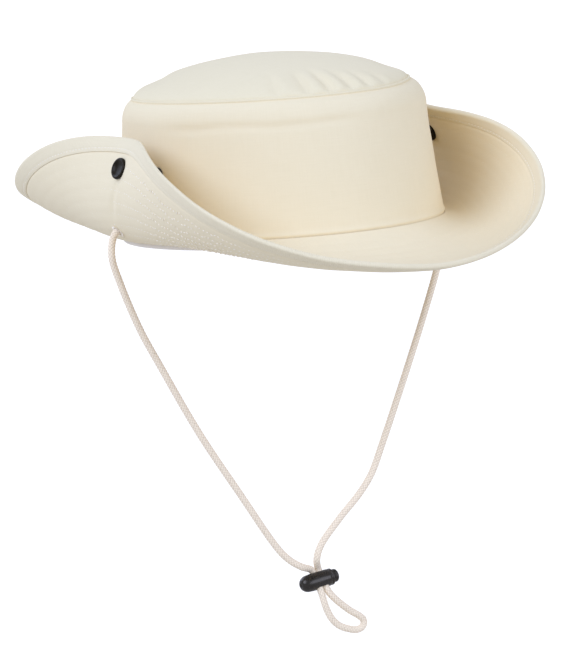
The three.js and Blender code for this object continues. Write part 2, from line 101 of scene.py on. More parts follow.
# The planes that the cord and its loop hang in, and its route in them.
CORD_Y = -0.002
LOOP_Y = -0.006
CORD_END_RIGHT = [(-0.09664, 0.00192, 0.00744), (-0.10124, 0.00199, 0.00359)]
CORD_END_LEFT = [(0.1014, 0.00199, 0.00307), (0.09692, 0.00192, 0.00704)]
CORD_ROUTE_RIGHT = [
    (-0.1056, -0.007), (-0.1022, -0.021), (-0.0925, -0.048), (-0.0826, -0.0685),
    (-0.062, -0.109), (-0.0405, -0.1452), (-0.0194, -0.1796), (-0.0128, -0.187),
    (-0.0056, -0.192),
]
CORD_ROUTE_LOOP = [
    (0.0046, -0.2124), (0.0062, -0.2179), (0.0089, -0.2233), (0.0132, -0.2278),
    (0.0188, -0.2306), (0.0244, -0.232), (0.028, -0.2308), (0.029, -0.2276),
    (0.0266, -0.2247), (0.0206, -0.2204), (0.0109, -0.2114),
]
CORD_ROUTE_LEFT = [
    (0.0046, -0.1888), (0.0078, -0.182), (0.021, -0.1689), (0.0349, -0.157),
    (0.0433, -0.1474), (0.051, -0.1332), (0.0823, -0.0692), (0.0959, -0.0385),
    (0.1026, -0.0205), (0.1056, -0.007),
]
# The cord lock's place and tilt, and how its two strands lean through it.
LOCK_CENTRE = Vector((0.0049, CORD_Y, -0.2013))
LOCK_TILT = math.radians(6)
HOLE_LEAN = math.radians(30)
HOLE_MIDDLE = 0.0003
STRAND_SPACING = 0.0041
LOCK_STRAIGHT = 0.0065
LOCK_AXIS = Vector((math.cos(LOCK_TILT), 0, math.sin(LOCK_TILT)))


def lock_strand(side):
    """Three points of one strand's straight way down through the cord lock."""
    along = HOLE_MIDDLE + side * STRAND_SPACING / 2
    spots = []
    for below in (-LOCK_STRAIGHT, 0, LOCK_STRAIGHT):
        drop = math.cos(HOLE_LEAN) * below
        spots.append(LOCK_CENTRE + along * LOCK_AXIS + Vector((
            math.sin(LOCK_TILT) * drop,
            -math.sin(HOLE_LEAN) * below,
            -math.cos(LOCK_TILT) * drop,
        )))
    return spots


def lengths_along(spots, apart=lambda a, b: (b - a).length):
    """The length of the way along a line to each of its spots."""
    walked = [0]
    for a, b in zip(spots, spots[1:]):
        walked.append(walked[-1] + apart(a, b))
    return walked


def smooth_route(points, step):
    """Even steps along a smooth curve through all the points."""
    points = [Vector(point) for point in points]
    ends = [2 * points[0] - points[1], *points, 2 * points[-1] - points[-2]]
    fine = []
    for a, b, c, d in zip(ends, ends[1:], ends[2:], ends[3:]):
        tb = math.sqrt((b - a).length)
        tc = tb + math.sqrt((c - b).length)
        td = tc + math.sqrt((d - c).length)
        for part in range(CURVE_PARTS):
            t = tb + (tc - tb) * part / CURVE_PARTS
            ab = a.lerp(b, t / tb)
            bc = b.lerp(c, (t - tb) / (tc - tb))
            cd = c.lerp(d, (t - tc) / (td - tc))
            fine.append(ab.lerp(bc, t / tc).lerp(bc.lerp(cd, (t - tb) / (td - tb)), (t - tb) / (tc - tb)))
    fine.append(points[-1])
    walked = lengths_along(fine)
    count = round(walked[-1] / step)
    even = []
    for number in range(count + 1):
        at = walked[-1] * number / count
        span = min(bisect.bisect_right(walked, at), len(fine) - 1) - 1
        share = (at - walked[span]) / (walked[span + 1] - walked[span])
        even.append(fine[span].lerp(fine[span + 1], share))
    return even


def skin(columns, rows, place):
    """A skin from a flat grid. place(column, row) gives a corner's spot and its spot on the cloth."""
    shape = bmesh.new()
    bmesh.ops.create_grid(shape, x_segments=columns, y_segments=rows, size=1)
    cloth = shape.loops.layers.uv.new("Cloth")
    flat = {}
    for corner in shape.verts:
        column = round((corner.co.x + 1) / 2 * columns)
        row = round((corner.co.y + 1) / 2 * rows)
        corner.co, flat[corner] = place(column, row)
    for face in shape.faces:
        for loop in face.loops:
            loop[cloth].uv = flat[loop.vert]
    bmesh.ops.remove_doubles(shape, verts=shape.verts, dist=WELD)
    return shape


def placed(name, shape):
    """The shape as an object in the scene."""
    mesh = bpy.data.meshes.new(name)
    shape.to_mesh(mesh)
    shape.free()
    made = bpy.data.objects.new(name, mesh)
    scene.collection.objects.link(made)
    return made


def finished(name, shape, material, sharp=50, body="hat"):
    """The shape as a piece that rides on a body, smooth but for the edges that are sharp."""
    bmesh.ops.recalc_face_normals(shape, faces=shape.faces)
    for face in shape.faces:
        face.smooth = True
    for edge in shape.edges:
        edge.smooth = edge.calc_face_angle(0) < math.radians(sharp)
    piece = placed(name, shape)
    piece.data.materials.append(material)
    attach(piece, body)
    return piece


def braid_height(along, turn):
    """How high the braid's surface stands, 0 to 1: strands wound both ways, over and under."""
    one = BRAID_STRANDS * (turn + along / BRAID_TURN)
    other = BRAID_STRANDS * (turn - along / BRAID_TURN)
    over = (math.floor(one) + math.floor(other)) % 2
    crown, run = (one, other) if over else (other, one)
    bulge = math.sin(math.pi * (crown % 1)) ** 0.7
    return bulge * (0.55 + 0.45 * math.sin(math.pi * (run % 1)))


def braided(path, radius, sides=CORD_SIDES):
    """A braided tube along a path, with its ends closed."""
    frames = []
    side = None
    for number, spot in enumerate(path):
        ahead = (path[min(number + 1, len(path) - 1)] - path[max(number - 1, 0)]).normalized()
        if side is None:
            side = ahead.orthogonal()
        side = (side - ahead * side.dot(ahead)).normalized()
        frames.append((spot, side, ahead.cross(side)))
    step = (path[1] - path[0]).length

    def place(column, row):
        spot, side, other = frames[column]
        turn = row / sides
        angle = math.tau * turn
        reach = radius + BRAID_DEPTH * (braid_height(column * step, turn) - BRAID_MIDDLE)
        out = side * math.cos(angle) + other * math.sin(angle)
        return spot + out * reach, (column * step, turn * math.tau * radius)

    shape = skin(len(path) - 1, sides, place)
    open_ends = [edge for edge in shape.edges if edge.is_boundary]
    bmesh.ops.holes_fill(shape, edges=open_ends, sides=sides)
    return shape


def sockets(tree, inputs, outputs):
    """Gives a node group its named inputs and outputs, and returns its two end nodes."""
    for name, kind, value in inputs:
        made = tree.interface.new_socket(name=name, in_out="INPUT", socket_type=kind)
        if value is not None:
            made.default_value = value
    for name, kind in outputs:
        tree.interface.new_socket(name=name, in_out="OUTPUT", socket_type=kind)
    return tree.nodes.new("NodeGroupInput"), tree.nodes.new("NodeGroupOutput")


def fill(tree, node, values):
    """Sets or links a node's inputs, by name or number."""
    for key, value in dict(values).items():
        if isinstance(value, bpy.types.NodeSocket):
            tree.links.new(value, node.inputs[key])
        else:
            node.inputs[key].default_value = value


def put(tree, kind, values=(), **settings):
    """A new node with its settings and its inputs."""
    node = tree.nodes.new(kind)
    for name, value in settings.items():
        setattr(node, name, value)
    fill(tree, node, values)
    return node


def sums(tree, operation, *values):
    """A math node's output."""
    return put(tree, "ShaderNodeMath", enumerate(values), operation=operation).outputs[0]


def blended(tree, mask, low, high, way="MIX"):
    """A colour between two, by a mask."""
    mixer = put(tree, "ShaderNodeMix", {0: mask, 6: low, 7: high}, data_type="RGBA", blend_type=way)
    return mixer.outputs[2]


def noisy(tree, where, scale, detail):
    """Fine noise from 0 to 1, as many waves to the metre as its scale."""
    return put(tree, "ShaderNodeTexNoise", {"Vector": where, "Scale": scale, "Detail": detail}).outputs[0]


def bumped(tree, strength, distance, height, **more):
    """A normal in small relief."""
    values = {"Strength": strength, "Distance": distance, "Height": height, **more}
    return put(tree, "ShaderNodeBump", values).outputs[0]


def new_finish(name):
    """A new material, its node tree and its shader."""
    material = bpy.data.materials.new(name)
    material.use_nodes = True
    tree = material.node_tree
    return material, tree, tree.nodes["Principled BSDF"]


# Mottle: soft cloudy differences in shade that handled cloth and worn enamel have.
mottle = bpy.data.node_groups.new("Mottle", "ShaderNodeTree")
start, end = sockets(
    mottle,
    [("Place", "NodeSocketVector", None), ("Size", "NodeSocketFloat", 0.03),
     ("Contrast", "NodeSocketFloat", 1.0)],
    [("Mask", "NodeSocketFloat")],
)
spread = put(mottle, "ShaderNodeTexNoise", {
    "Vector": start.outputs["Place"],
    "Scale": sums(mottle, "DIVIDE", 1.0, start.outputs["Size"]),
    "Detail": 4.0, "Roughness": 0.55,
})
centred = sums(mottle, "SUBTRACT", spread.outputs[0], 0.5)
mask = sums(mottle, "MULTIPLY_ADD", centred, sums(mottle, "MULTIPLY", start.outputs["Contrast"], 2.4), 0.5)
fill(mottle, end, {"Mask": put(mottle, "ShaderNodeClamp", {0: mask}).outputs[0]})


def grouped(tree, group, **values):
    """A node group placed in a material with its own values."""
    return put(tree, "ShaderNodeGroup", values, node_tree=group)


def clouds(tree, where, size, contrast):
    """The mottle's mask in a material."""
    return grouped(tree, mottle, Place=where, Size=size, Contrast=contrast).outputs["Mask"]


CORD_LIGHT = (0.97, 0.85, 0.67, 1)
CORD_DARK_AND_SHADE = (0.54, 0.43, 0.31, 1)
cord_cotton, tree, shader = new_finish("cord_cotton")
where = put(tree, "ShaderNodeTexCoord").outputs["Object"]
relief = put(tree, "ShaderNodeAttribute", attribute_name="Relief").outputs["Fac"]
fibres = noisy(tree, where, 5200.0, 2.0)
# Pale where the strands stand up and dark between them, which is painted shade in the braid's hollows, a
# little cloudy and fibrous.
strand_tone_and_shade = sums(tree, "MULTIPLY_ADD", relief, 0.85, 0.25)
strand_tone_and_shade = sums(tree, "MULTIPLY_ADD", clouds(tree, where, 0.02, 0.8), 0.12, strand_tone_and_shade)
strand_tone_and_shade = sums(tree, "MULTIPLY_ADD", fibres, 0.16, sums(tree, "SUBTRACT", strand_tone_and_shade, 0.08))
fill(tree, shader, {
    "Base Color": blended(tree, strand_tone_and_shade, CORD_DARK_AND_SHADE, CORD_LIGHT),
    "Normal": bumped(tree, 0.5, 0.00008, fibres),
    "Roughness": 0.92, "Specular IOR Level": 0.2, "Sheen Weight": 0.25, "Sheen Roughness": 0.5,
})

cord_route = smooth_route(
    [
        *CORD_END_RIGHT,
        *[(x, CORD_Y, z) for x, z in CORD_ROUTE_RIGHT],
        *lock_strand(-1),
        *[(x, LOOP_Y, z) for x, z in CORD_ROUTE_LOOP],
        *reversed(lock_strand(1)),
        *[(x, CORD_Y, z) for x, z in CORD_ROUTE_LEFT],
        *CORD_END_LEFT,
    ],
    CORD_RING_STEP,
)
cord_length = lengths_along(cord_route)[-1]
chin_cord = finished("braided_chin_cord", braided(cord_route, CORD_RADIUS), cord_cotton)


def stands_off(piece, path, radius):
    """Keeps how far each corner stands from the path, 0 to 1, for the cord's material to read as painted
    shade between the strands.
    """
    near = KDTree(len(path))
    for number, spot in enumerate(path):
        near.insert(spot, number)
    near.balance()
    low = radius - BRAID_MIDDLE * BRAID_DEPTH
    relief = piece.data.attributes.new("Relief", "FLOAT", "POINT")
    relief.data.foreach_set("value", [
        min(1, max(0, (near.find(corner.co)[2] - low) / BRAID_DEPTH)) for corner in piece.data.vertices
    ])


stands_off(chin_cord, cord_route, CORD_RADIUS)
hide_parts("chin_cord")

# ------------------------------
# Crown side: one strip of canvas in cream cotton, stiffened, that tapers inwards and rounds over
# at the shoulder. Its ends meet in a plain seam at the back.
HEAD_HALF_LENGTH = 0.100
HEAD_HALF_WIDTH = 0.085
SQUEEZE = HEAD_HALF_WIDTH / HEAD_HALF_LENGTH
CANVAS = 0.0014
GAP = 0.0003
WALL_BOTTOM = -0.002
WALL_TAPER = 0.007
SHOULDER_START = 0.059
SHOULDER_RISE = 0.012
SHOULDER_INSET = 0.008
SEAM_HEIGHT = SHOULDER_START + SHOULDER_RISE
SEAM_HALF_LENGTH = HEAD_HALF_LENGTH - WALL_TAPER - SHOULDER_INSET
STEPS_AROUND = 400
# The heights of the close rows that carry the foot's roll and groove.
WALL_FOOT = [-0.002, -0.001, -0.0004, 0.0, 0.0003, 0.0006, 0.001, 0.0014, 0.0019, 0.0025, 0.0034, 0.0046]
WALL_FOOT_END = 0.006
WALL_ROWS = 40
WALL_INNER_HEIGHTS = [0.045, 0.03, 0.015, 0, WALL_BOTTOM]
SHOULDER_ROWS = 14
# The wall's unevenness: broad and fine dents, the swelling under the top seam and the full side
# at the left front.
WALL_DENT = 0.0005
WALL_FINE_DENT = 0.00016
SEAM_SWELLING = 0.0006
FULL_SIDE = 0.0008
# The roll and the groove along its foot: size, height and width.
FOOT_ROLL = (0.0005, 0.0016, 0.0011)
FOOT_GROOVE = (0.0002, 0.0001, 0.0004)
# A long shallow fold that wanders a little, from the right side to the front.
FOLD_DEPTH = 0.00055
FOLD_HEIGHT = 0.0585
FOLD_WANDER = 0.002
FOLD_WIDTH = 0.002
# The plain seam at the back, and how much cloth a degree round the hat holds there.
BACK_SEAM = 0.0005
BACK_SEAM_WIDTH = 0.0013
DEGREE_LENGTH = 0.0016
# The place, width, rise and inset of the top seam's pull at the left front.
SEAM_PULL = (57, 26, 0.0019, 0.0012)


def outward(angle):
    """The level direction straight out of the hat's oval."""
    return Vector((
        math.sin(angle) / HEAD_HALF_WIDTH, -math.cos(angle) / HEAD_HALF_LENGTH, 0,
    )).normalized()


def oval(angle, reach, height):
    """A spot on an oval of that half-length, at a height."""
    return Vector((math.sin(angle) * reach * SQUEEZE, -math.cos(angle) * reach, height))


def at_degree(marks, degrees):
    """A value between the marks for each whole degree."""
    whole = min(int(degrees), 359)
    return marks[whole] + (marks[whole + 1] - marks[whole]) * (degrees - whole)


girth_marks = lengths_along([oval(math.radians(degree), HEAD_HALF_LENGTH, 0) for degree in range(361)])


def girth(angle):
    """The length of cloth round the head opening from the front to an angle."""
    return at_degree(girth_marks, math.degrees(angle) % 360 if angle < math.tau else 360)


def wall_reach(height):
    """The half-length of the wall's outer face at a height."""
    return HEAD_HALF_LENGTH - WALL_TAPER * max(height, 0) / SHOULDER_START


def hump(x, width):
    """A smooth hump, 1 high at 0."""
    return math.exp(-(x / width) ** 2)


def form(x, size, place, width):
    """A smooth form of that size at its place, fading to both sides."""
    return size * hump(x - place, width)


def ease(x, start, end):
    """0 before the start, 1 after the end and smooth between."""
    t = min(1, max(0, (x - start) / (end - start)))
    return t * t * (3 - 2 * t)


def ripple(spot, size, seed):
    """Soft unevenness, -1 to 1, with dents of about that size."""
    return noise.noise(spot / size + Vector((seed * 3.7, seed * 1.3, seed * 7.1)))


def turn_from(angle, degrees):
    """The signed difference between an angle and one given in degrees, in degrees."""
    return (math.degrees(angle) - degrees + 180) % 360 - 180


def wall_relief(angle, height, spot, bend):
    """How far the crown's outer face stands off its even shape."""
    free = ease(height, 0.001, 0.012) * (1 - 0.9 * ease(bend, 0.9, 1.5))
    out = free * (WALL_DENT * ripple(spot, 0.045, 1) + WALL_FINE_DENT * ripple(spot, 0.014, 2))
    out += form(height, *FOOT_ROLL) - form(height, *FOOT_GROOVE)
    out += SEAM_SWELLING * ease(bend, 1.1, 1.5)
    folded = ease(turn_from(angle, -80), 0, 15) * (1 - ease(turn_from(angle, 0), -12, 4))
    out -= FOLD_DEPTH * folded * hump(height - FOLD_HEIGHT - FOLD_WANDER * ripple(spot, 0.03, 3), FOLD_WIDTH)
    out += FULL_SIDE * ease(height, 0.045, 0.07) * hump(turn_from(angle, 62), 26) * free
    out -= BACK_SEAM * hump(turn_from(angle, 180) * DEGREE_LENGTH, BACK_SEAM_WIDTH) * ease(height, 0, 0.004)
    return out


def seam_shift(angle, share):
    """How far the sewing has pulled the seam inwards and up at one shoulder."""
    place, width, up, inwards = SEAM_PULL
    pulled = hump(turn_from(angle, place), width) * share ** 3
    return Vector((0, 0, up * pulled)) - outward(angle) * inwards * pulled


wall_rows = []
for row in range(WALL_ROWS + len(WALL_FOOT)):
    rise = (row - len(WALL_FOOT)) / WALL_ROWS
    height = WALL_FOOT[row] if rise < 0 else WALL_FOOT_END + (SHOULDER_START - WALL_FOOT_END) * rise
    wall_rows.append((wall_reach(height), height, 0.0, True))
for depth, rows in ((0, range(SHOULDER_ROWS + 1)), (CANVAS, range(SHOULDER_ROWS, -1, -2))):
    for row in rows:
        bend = math.pi / 2 * row / SHOULDER_ROWS
        wall_rows.append((
            SEAM_HALF_LENGTH + (SHOULDER_INSET - depth) * math.cos(bend),
            SHOULDER_START + (SHOULDER_RISE - depth) * math.sin(bend),
            bend, depth == 0,
        ))
for height in WALL_INNER_HEIGHTS:
    wall_rows.append((wall_reach(height) - CANVAS, height, 0.0, False))
wall_rows.append(wall_rows[0])
wall_run = lengths_along([row[:2] for row in wall_rows], math.dist)


def wall_place(column, row):
    angle = math.tau * column / STEPS_AROUND
    reach, height, bend, outside = wall_rows[row]
    spot = oval(angle, reach, height)
    if outside:
        away = outward(angle) * math.cos(bend) + Vector((0, 0, math.sin(bend)))
        spot = spot + away * wall_relief(angle, height, spot, bend)
    return spot + seam_shift(angle, math.sin(bend)), (girth(angle), wall_run[row])


# Plain weave: threads over and under each other, with the thicker stretches that spun cotton has.
weave = bpy.data.node_groups.new("Plain weave", "ShaderNodeTree")
start, end = sockets(
    weave,
    [("Cloth", "NodeSocketVector", None), ("Threads", "NodeSocketFloat", 1800.0),
     ("Slub", "NodeSocketFloat", 0.5)],
    [("Height", "NodeSocketFloat"), ("Tone_and_shade", "NodeSocketFloat")],
)
split = put(weave, "ShaderNodeSeparateXYZ", {0: start.outputs["Cloth"]})
across = sums(weave, "MULTIPLY", split.outputs[0], start.outputs["Threads"])
along = sums(weave, "MULTIPLY", split.outputs[1], start.outputs["Threads"])
wave_x = sums(weave, "SINE", sums(weave, "MULTIPLY", across, math.pi))
wave_y = sums(weave, "SINE", sums(weave, "MULTIPLY", along, math.pi))
over = sums(weave, "MULTIPLY", wave_y, sums(weave, "SIGN", wave_x))
under = sums(weave, "MULTIPLY", wave_x, sums(weave, "SIGN", wave_y))
warp = sums(weave, "MULTIPLY", sums(weave, "ABSOLUTE", wave_x), sums(weave, "MULTIPLY_ADD", over, 0.5, 0.5))
weft = sums(weave, "MULTIPLY", sums(weave, "ABSOLUTE", wave_y), sums(weave, "MULTIPLY_ADD", under, -0.5, 0.5))
cloth_height = sums(weave, "MAXIMUM", warp, weft)
slubs = []
for stretch_across, stretch_along in ((0.9, 0.035), (0.035, 0.9)):
    drawn = put(weave, "ShaderNodeCombineXYZ", {
        0: sums(weave, "MULTIPLY", across, stretch_across),
        1: sums(weave, "MULTIPLY", along, stretch_along),
    })
    slubs.append(put(weave, "ShaderNodeTexNoise", {
        "Vector": drawn.outputs[0], "Scale": 1.0, "Detail": 1.0,
    }).outputs[0])
thick = sums(weave, "MULTIPLY", sums(weave, "ADD", *slubs), start.outputs["Slub"])
tone = sums(weave, "SUBTRACT", sums(weave, "ADD", *slubs), 1.0)
# Tone is paler where the threads stand high and darker between them, which is painted shade in the weave's
# hollows, plus the slubs' own tone.
fill(weave, end, {
    "Height": sums(weave, "ADD", cloth_height, thick),
    "Tone_and_shade": sums(weave, "MULTIPLY_ADD", tone, 1.6, sums(weave, "MULTIPLY", cloth_height, 0.6)),
})

CANVAS_THREADS = 1900.0
CANVAS_SLUB = 0.1
RIB_PITCH = 0.0012
RIB_DEPTH = 0.00016
# Light that one fold of the cloth throws on the next is warmer than the cloth's own colour.
CLOTH_GLOW = (1.08, 1.0, 0.88, 1)


def woven_finish(name, light, dark, threads=CANVAS_THREADS, slub=CANVAS_SLUB, depth=0.00009, ribs=False):
    """A woven cotton finish: its weave in relief and in a tone with painted shade between the threads, a
    cloudy tone and a soft sheen.

    With ribs, the cloth is also drawn into fine ribs across its length."""
    material, tree, shader = new_finish(name)
    where = put(tree, "ShaderNodeTexCoord")
    threads = grouped(tree, weave, Cloth=where.outputs["UV"], Threads=threads, Slub=slub)
    cloudy = clouds(tree, where.outputs["Object"], 0.045, 0.9)
    fine = clouds(tree, where.outputs["Object"], 0.004, 0.8)
    # The weave's tone with its painted shade between threads, then cloudy tone at two sizes.
    mask = sums(tree, "MULTIPLY_ADD", threads.outputs["Tone_and_shade"], 0.28, 0.36)
    mask = sums(tree, "MULTIPLY_ADD", cloudy, 0.16, mask)
    mask = sums(tree, "MULTIPLY_ADD", fine, 0.14, mask)
    seen = blended(tree, mask, dark, light)
    passed_on = blended(tree, 1.0, seen, CLOTH_GLOW, "MULTIPLY")
    bounced = put(tree, "ShaderNodeLightPath").outputs["Is Diffuse Ray"]
    normal = bumped(tree, 0.6, depth, threads.outputs["Height"])
    if ribs:
        split = put(tree, "ShaderNodeSeparateXYZ", {0: where.outputs["UV"]})
        wave = sums(tree, "SINE", sums(tree, "MULTIPLY", split.outputs[0], math.tau / RIB_PITCH))
        normal = bumped(tree, 0.5, RIB_DEPTH, wave, Normal=normal)
    fill(tree, shader, {
        "Base Color": blended(tree, bounced, seen, passed_on), "Normal": normal,
        "Roughness": 0.93, "Specular IOR Level": 0.15, "Sheen Weight": 0.12, "Sheen Roughness": 0.6,
    })
    return material


CREAM_LIGHT = (0.865, 0.775, 0.56, 1)
CREAM_DARK = (0.805, 0.71, 0.49, 1)
canvas = woven_finish("cream_canvas", CREAM_LIGHT, CREAM_DARK)

crown_side = finished("crown_side_canvas", skin(STEPS_AROUND, len(wall_rows) - 1, wall_place), canvas)
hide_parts("crown_side")

# ------------------------------
# Crown top: an oval panel of the same canvas, domed, sewn to the crown side with the edges
# turned into a raised seam. The sewing draws small slanting puckers into the panel's rim.
DOME_STEPS = 360
DOME_RISE = 0.019
DOME_FULLNESS = 0.67
DOME_ROWS = 34
RIDGE_BOTTOM = SEAM_HEIGHT + GAP
DOME_BASE = RIDGE_BOTTOM + CANVAS
# The seam's ridge: how far out it stands, its bend from the inner foot to the outer in half turns,
# and how far its underside closes the gap to the crown side.
RIDGE_RADIUS = CANVAS / 2
RIDGE_OUT = 0.0008
RIDGE_ROWS = 8
RIDGE_START = 0.62
RIDGE_BEND = 1.12
SEAM_CLOSED = 0.00027
DOME_DENT = 0.0006
DOME_FINE_DENT = 0.0002
# Each large dent: its place and width in degrees, its place and width from middle to rim, its depth.
DENTS = [(-124, 20, 0.83, 0.085, 0.0019), (57, 22, 0.86, 0.1, 0.0012)]
# Each pucker: its place in degrees from the front, its length and its depth.
PUCKERS = [
    (-31, 0.030, 0.0007), (-18, 0.030, 0.0011), (-8, 0.032, 0.0012), (2, 0.026, 0.0009),
    (11, 0.022, 0.0007), (21, 0.016, 0.0004), (150, 0.024, 0.0006), (161, 0.028, 0.0008),
    (172, 0.022, 0.0006), (-174, 0.026, 0.0009), (-162, 0.020, 0.0005),
]
PUCKER_LEAN = 0.12
PUCKER_REACH = 15
PUCKER_STRENGTH = 1.35
PUCKER_WIDTH = 0.0034
# The ridge beside each pucker: its share of the depth, how far aside it lies and its width.
PUCKER_RIDGE = (0.6, 0.006, 0.004)


def dome_relief(angle, share, spot, inwards):
    """How far the top panel stands off its even dome."""
    free = 1 - ease(share, 0.9, 1)
    out = DOME_DENT * ripple(spot, 0.05, 4) * free
    out += DOME_FINE_DENT * ripple(spot, 0.016, 5) * (1 - 0.7 * ease(share, 0.9, 1))
    for degrees, width, place, spread, depth in DENTS:
        out -= depth * hump(turn_from(angle, degrees), width) * hump(share - place, spread)
    for degrees, length, depth in PUCKERS:
        aside = turn_from(angle, degrees)
        if abs(aside) < PUCKER_REACH:
            aside = aside * girth_marks[90] / 90 * SEAM_HALF_LENGTH / HEAD_HALF_LENGTH
            aside += PUCKER_LEAN * (inwards - 0.002)
            fade = ease(inwards, 0, 0.003) * (1 - ease(inwards, 0.25 * length, length))
            drawn_in = hump(aside, PUCKER_WIDTH) - form(aside, *PUCKER_RIDGE)
            out -= PUCKER_STRENGTH * depth * fade * drawn_in
    return out


def dome_row(row, inset, base):
    """A row on a face of the dome: its half-length, its height and its share of the way out."""
    share = math.sin(math.pi / 2 * row / DOME_ROWS)
    height = base + DOME_RISE * max(0.0, 1 - share * share) ** DOME_FULLNESS
    return (SEAM_HALF_LENGTH - inset) * share, height, share


dome_rows = [dome_row(row, 0, DOME_BASE) for row in range(DOME_ROWS + 1)]
for row in range(RIDGE_ROWS + 1):
    bend = math.pi * (RIDGE_START - RIDGE_BEND * row / RIDGE_ROWS)
    dome_rows.append((
        SEAM_HALF_LENGTH + RIDGE_OUT + RIDGE_RADIUS * math.cos(bend),
        RIDGE_BOTTOM + RIDGE_RADIUS + RIDGE_RADIUS * math.sin(bend) + min(0, math.sin(bend)) * SEAM_CLOSED,
        None,
    ))
dome_rows.append((SEAM_HALF_LENGTH - CANVAS, RIDGE_BOTTOM, None))
for row in range(DOME_ROWS - 2, -1, -2):
    dome_rows.append((*dome_row(row, CANVAS, RIDGE_BOTTOM)[:2], None))
dome_run = lengths_along([row[:2] for row in dome_rows], math.dist)


def dome_place(column, row):
    angle = math.tau * column / DOME_STEPS
    reach, height, share = dome_rows[row]
    spot = oval(angle, reach, height)
    flat = oval(angle, dome_run[row] if share is not None else reach, 0)
    if share is not None:
        before, after = dome_rows[max(row - 1, 0)], dome_rows[row + 1]
        rise = math.atan2(after[0] - before[0], before[1] - after[1]) if row else math.pi / 2
        away = outward(angle) * math.cos(rise) + Vector((0, 0, math.sin(rise)))
        spot = spot + away * dome_relief(angle, share, spot, dome_run[DOME_ROWS] - dome_run[row])
    return spot + seam_shift(angle, min(1, reach / SEAM_HALF_LENGTH) ** 2), (flat.x, flat.y)


# The top's colours are a darker, greyer copy of the canvas on the crown side: painted shade for how light
# falls on the top.
SHADED_TOP_LIGHT = (0.825, 0.75, 0.545, 1)
SHADED_TOP_DARK = (0.77, 0.695, 0.485, 1)
shaded_top_canvas = woven_finish("shaded_top_canvas", SHADED_TOP_LIGHT, SHADED_TOP_DARK)
crown_top = finished("crown_top_panel", skin(DOME_STEPS, len(dome_rows) - 1, dome_place), shaded_top_canvas)
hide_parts("crown_top")

# ------------------------------
# Sweatband: a soft band of white cotton sewn inside the head opening, hemmed along both edges.
# It hangs a few millimetres below the seam between crown and brim.
SWEATBAND_TOP = 0.028
SWEATBAND_BOTTOM = -0.005
SWEATBAND_THICKNESS = 0.0012
SWEATBAND_STEPS = 300
SWEATBAND_FACE_ROWS = 22
SWEATBAND_EDGE = 0.0003
SWEATBAND_SOFTNESS = 0.0002
# How far apart its two faces lie on the flat cloth.
SWEATBAND_FACES_APART = 0.05
# Each hem's stitched row: how far it lies from its edge, how wide its groove is and how deep.
LOWER_HEM = 0.004
UPPER_HEM = 0.003
HEM_WIDTH = 0.0009
HEM_DEPTH = 0.00025

band_rows = []
for face in (0, 1):
    for row in range(SWEATBAND_FACE_ROWS + 1):
        share = row / SWEATBAND_FACE_ROWS if face == 0 else 1 - row / SWEATBAND_FACE_ROWS
        height = SWEATBAND_BOTTOM + (SWEATBAND_TOP - SWEATBAND_BOTTOM) * share
        hem = hump(height - SWEATBAND_BOTTOM - LOWER_HEM, HEM_WIDTH)
        hem += hump(SWEATBAND_TOP - UPPER_HEM - height, HEM_WIDTH)
        edge = 1 - min(1, min(share, 1 - share) * SWEATBAND_FACE_ROWS / 1.5)
        inset = CANVAS + GAP + (SWEATBAND_THICKNESS if face else 0)
        inset += (-1 if face else 1) * (SWEATBAND_EDGE * edge + (HEM_DEPTH * hem if face else 0))
        band_rows.append((wall_reach(height) - inset, height, face))
band_rows.append(band_rows[0])


def sweatband_place(column, row):
    angle = math.tau * column / SWEATBAND_STEPS
    reach, height, face = band_rows[row]
    spot = oval(angle, reach, height)
    if face:
        spot = spot - outward(angle) * SWEATBAND_SOFTNESS * (1 + ripple(spot, 0.012, 6))
    return spot, (girth(angle), height + (SWEATBAND_FACES_APART if face else 0))


WHITE_LIGHT = (0.88, 0.85, 0.79, 1)
WHITE_DARK = (0.79, 0.75, 0.69, 1)
sweatband_cotton = woven_finish("sweatband_cotton", WHITE_LIGHT, WHITE_DARK, 2400.0, 0.35, 0.00006)
sweatband = finished(
    "sweatband_cotton_band", skin(SWEATBAND_STEPS, len(band_rows) - 1, sweatband_place), sweatband_cotton,
)
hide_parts("sweatband")

# ------------------------------
# Brim: two layers of canvas sewn together round a stiffener with rows of stitching, each row a
# shallow groove. Its sides curl up into the flaps that the snaps hold to the crown.
BRIM_WIDTH = 0.069
BRIM_THICKNESS = 0.0024
BRIM_FLUSH_LENGTH = 0.010
BRIM_CURL = 0.7
BRIM_SLOPES_AT_CROWN = [-50, -40, 2, -4, -13]
BRIM_SLOPES_AT_EDGE = [15, 75, 137, 48, 26]
RIGHT_FLAP_AT_CROWN = (8, -105, -67, -40, 9)
RIGHT_FLAP_AT_EDGE = (-15, -89, -55, -53, -5)
BAND_WIDTH = 0.0095
BRIM_STEPS = 480
BRIM_FACE_ROWS = 54
STITCH_ROWS = 9
INNER_WIDTH = BRIM_WIDTH - BAND_WIDTH - GAP / 2
ROW_PITCH = INNER_WIDTH / STITCH_ROWS
BRIM_DENT = 0.0006
EDGE_THINNING = 0.0004
QUILTING_DEPTH = 0.00014
QUILTING_SHARPNESS = 6
SECTION_STEP = 0.0005


def round_the_hat(values, angle):
    """A smooth even curve round the hat through five values, from the front to the back."""
    last = len(values) - 1
    total = 0
    for wave in range(last + 1):
        weight = sum(
            (0.5 if station in (0, last) else 1) * value * math.cos(math.pi * wave * station / last)
            for station, value in enumerate(values)
        )
        total += (0.5 if wave in (0, last) else 1) * weight * math.cos(wave * angle) * 2 / last
    return total


def slope_change(change, degrees):
    """One flap's own difference in slope: degrees of slope, then where it starts, is whole, fades, ends."""
    slope, start, whole, fading, end = change
    return slope * ease(degrees, start, whole) * (1 - ease(degrees, fading, end))


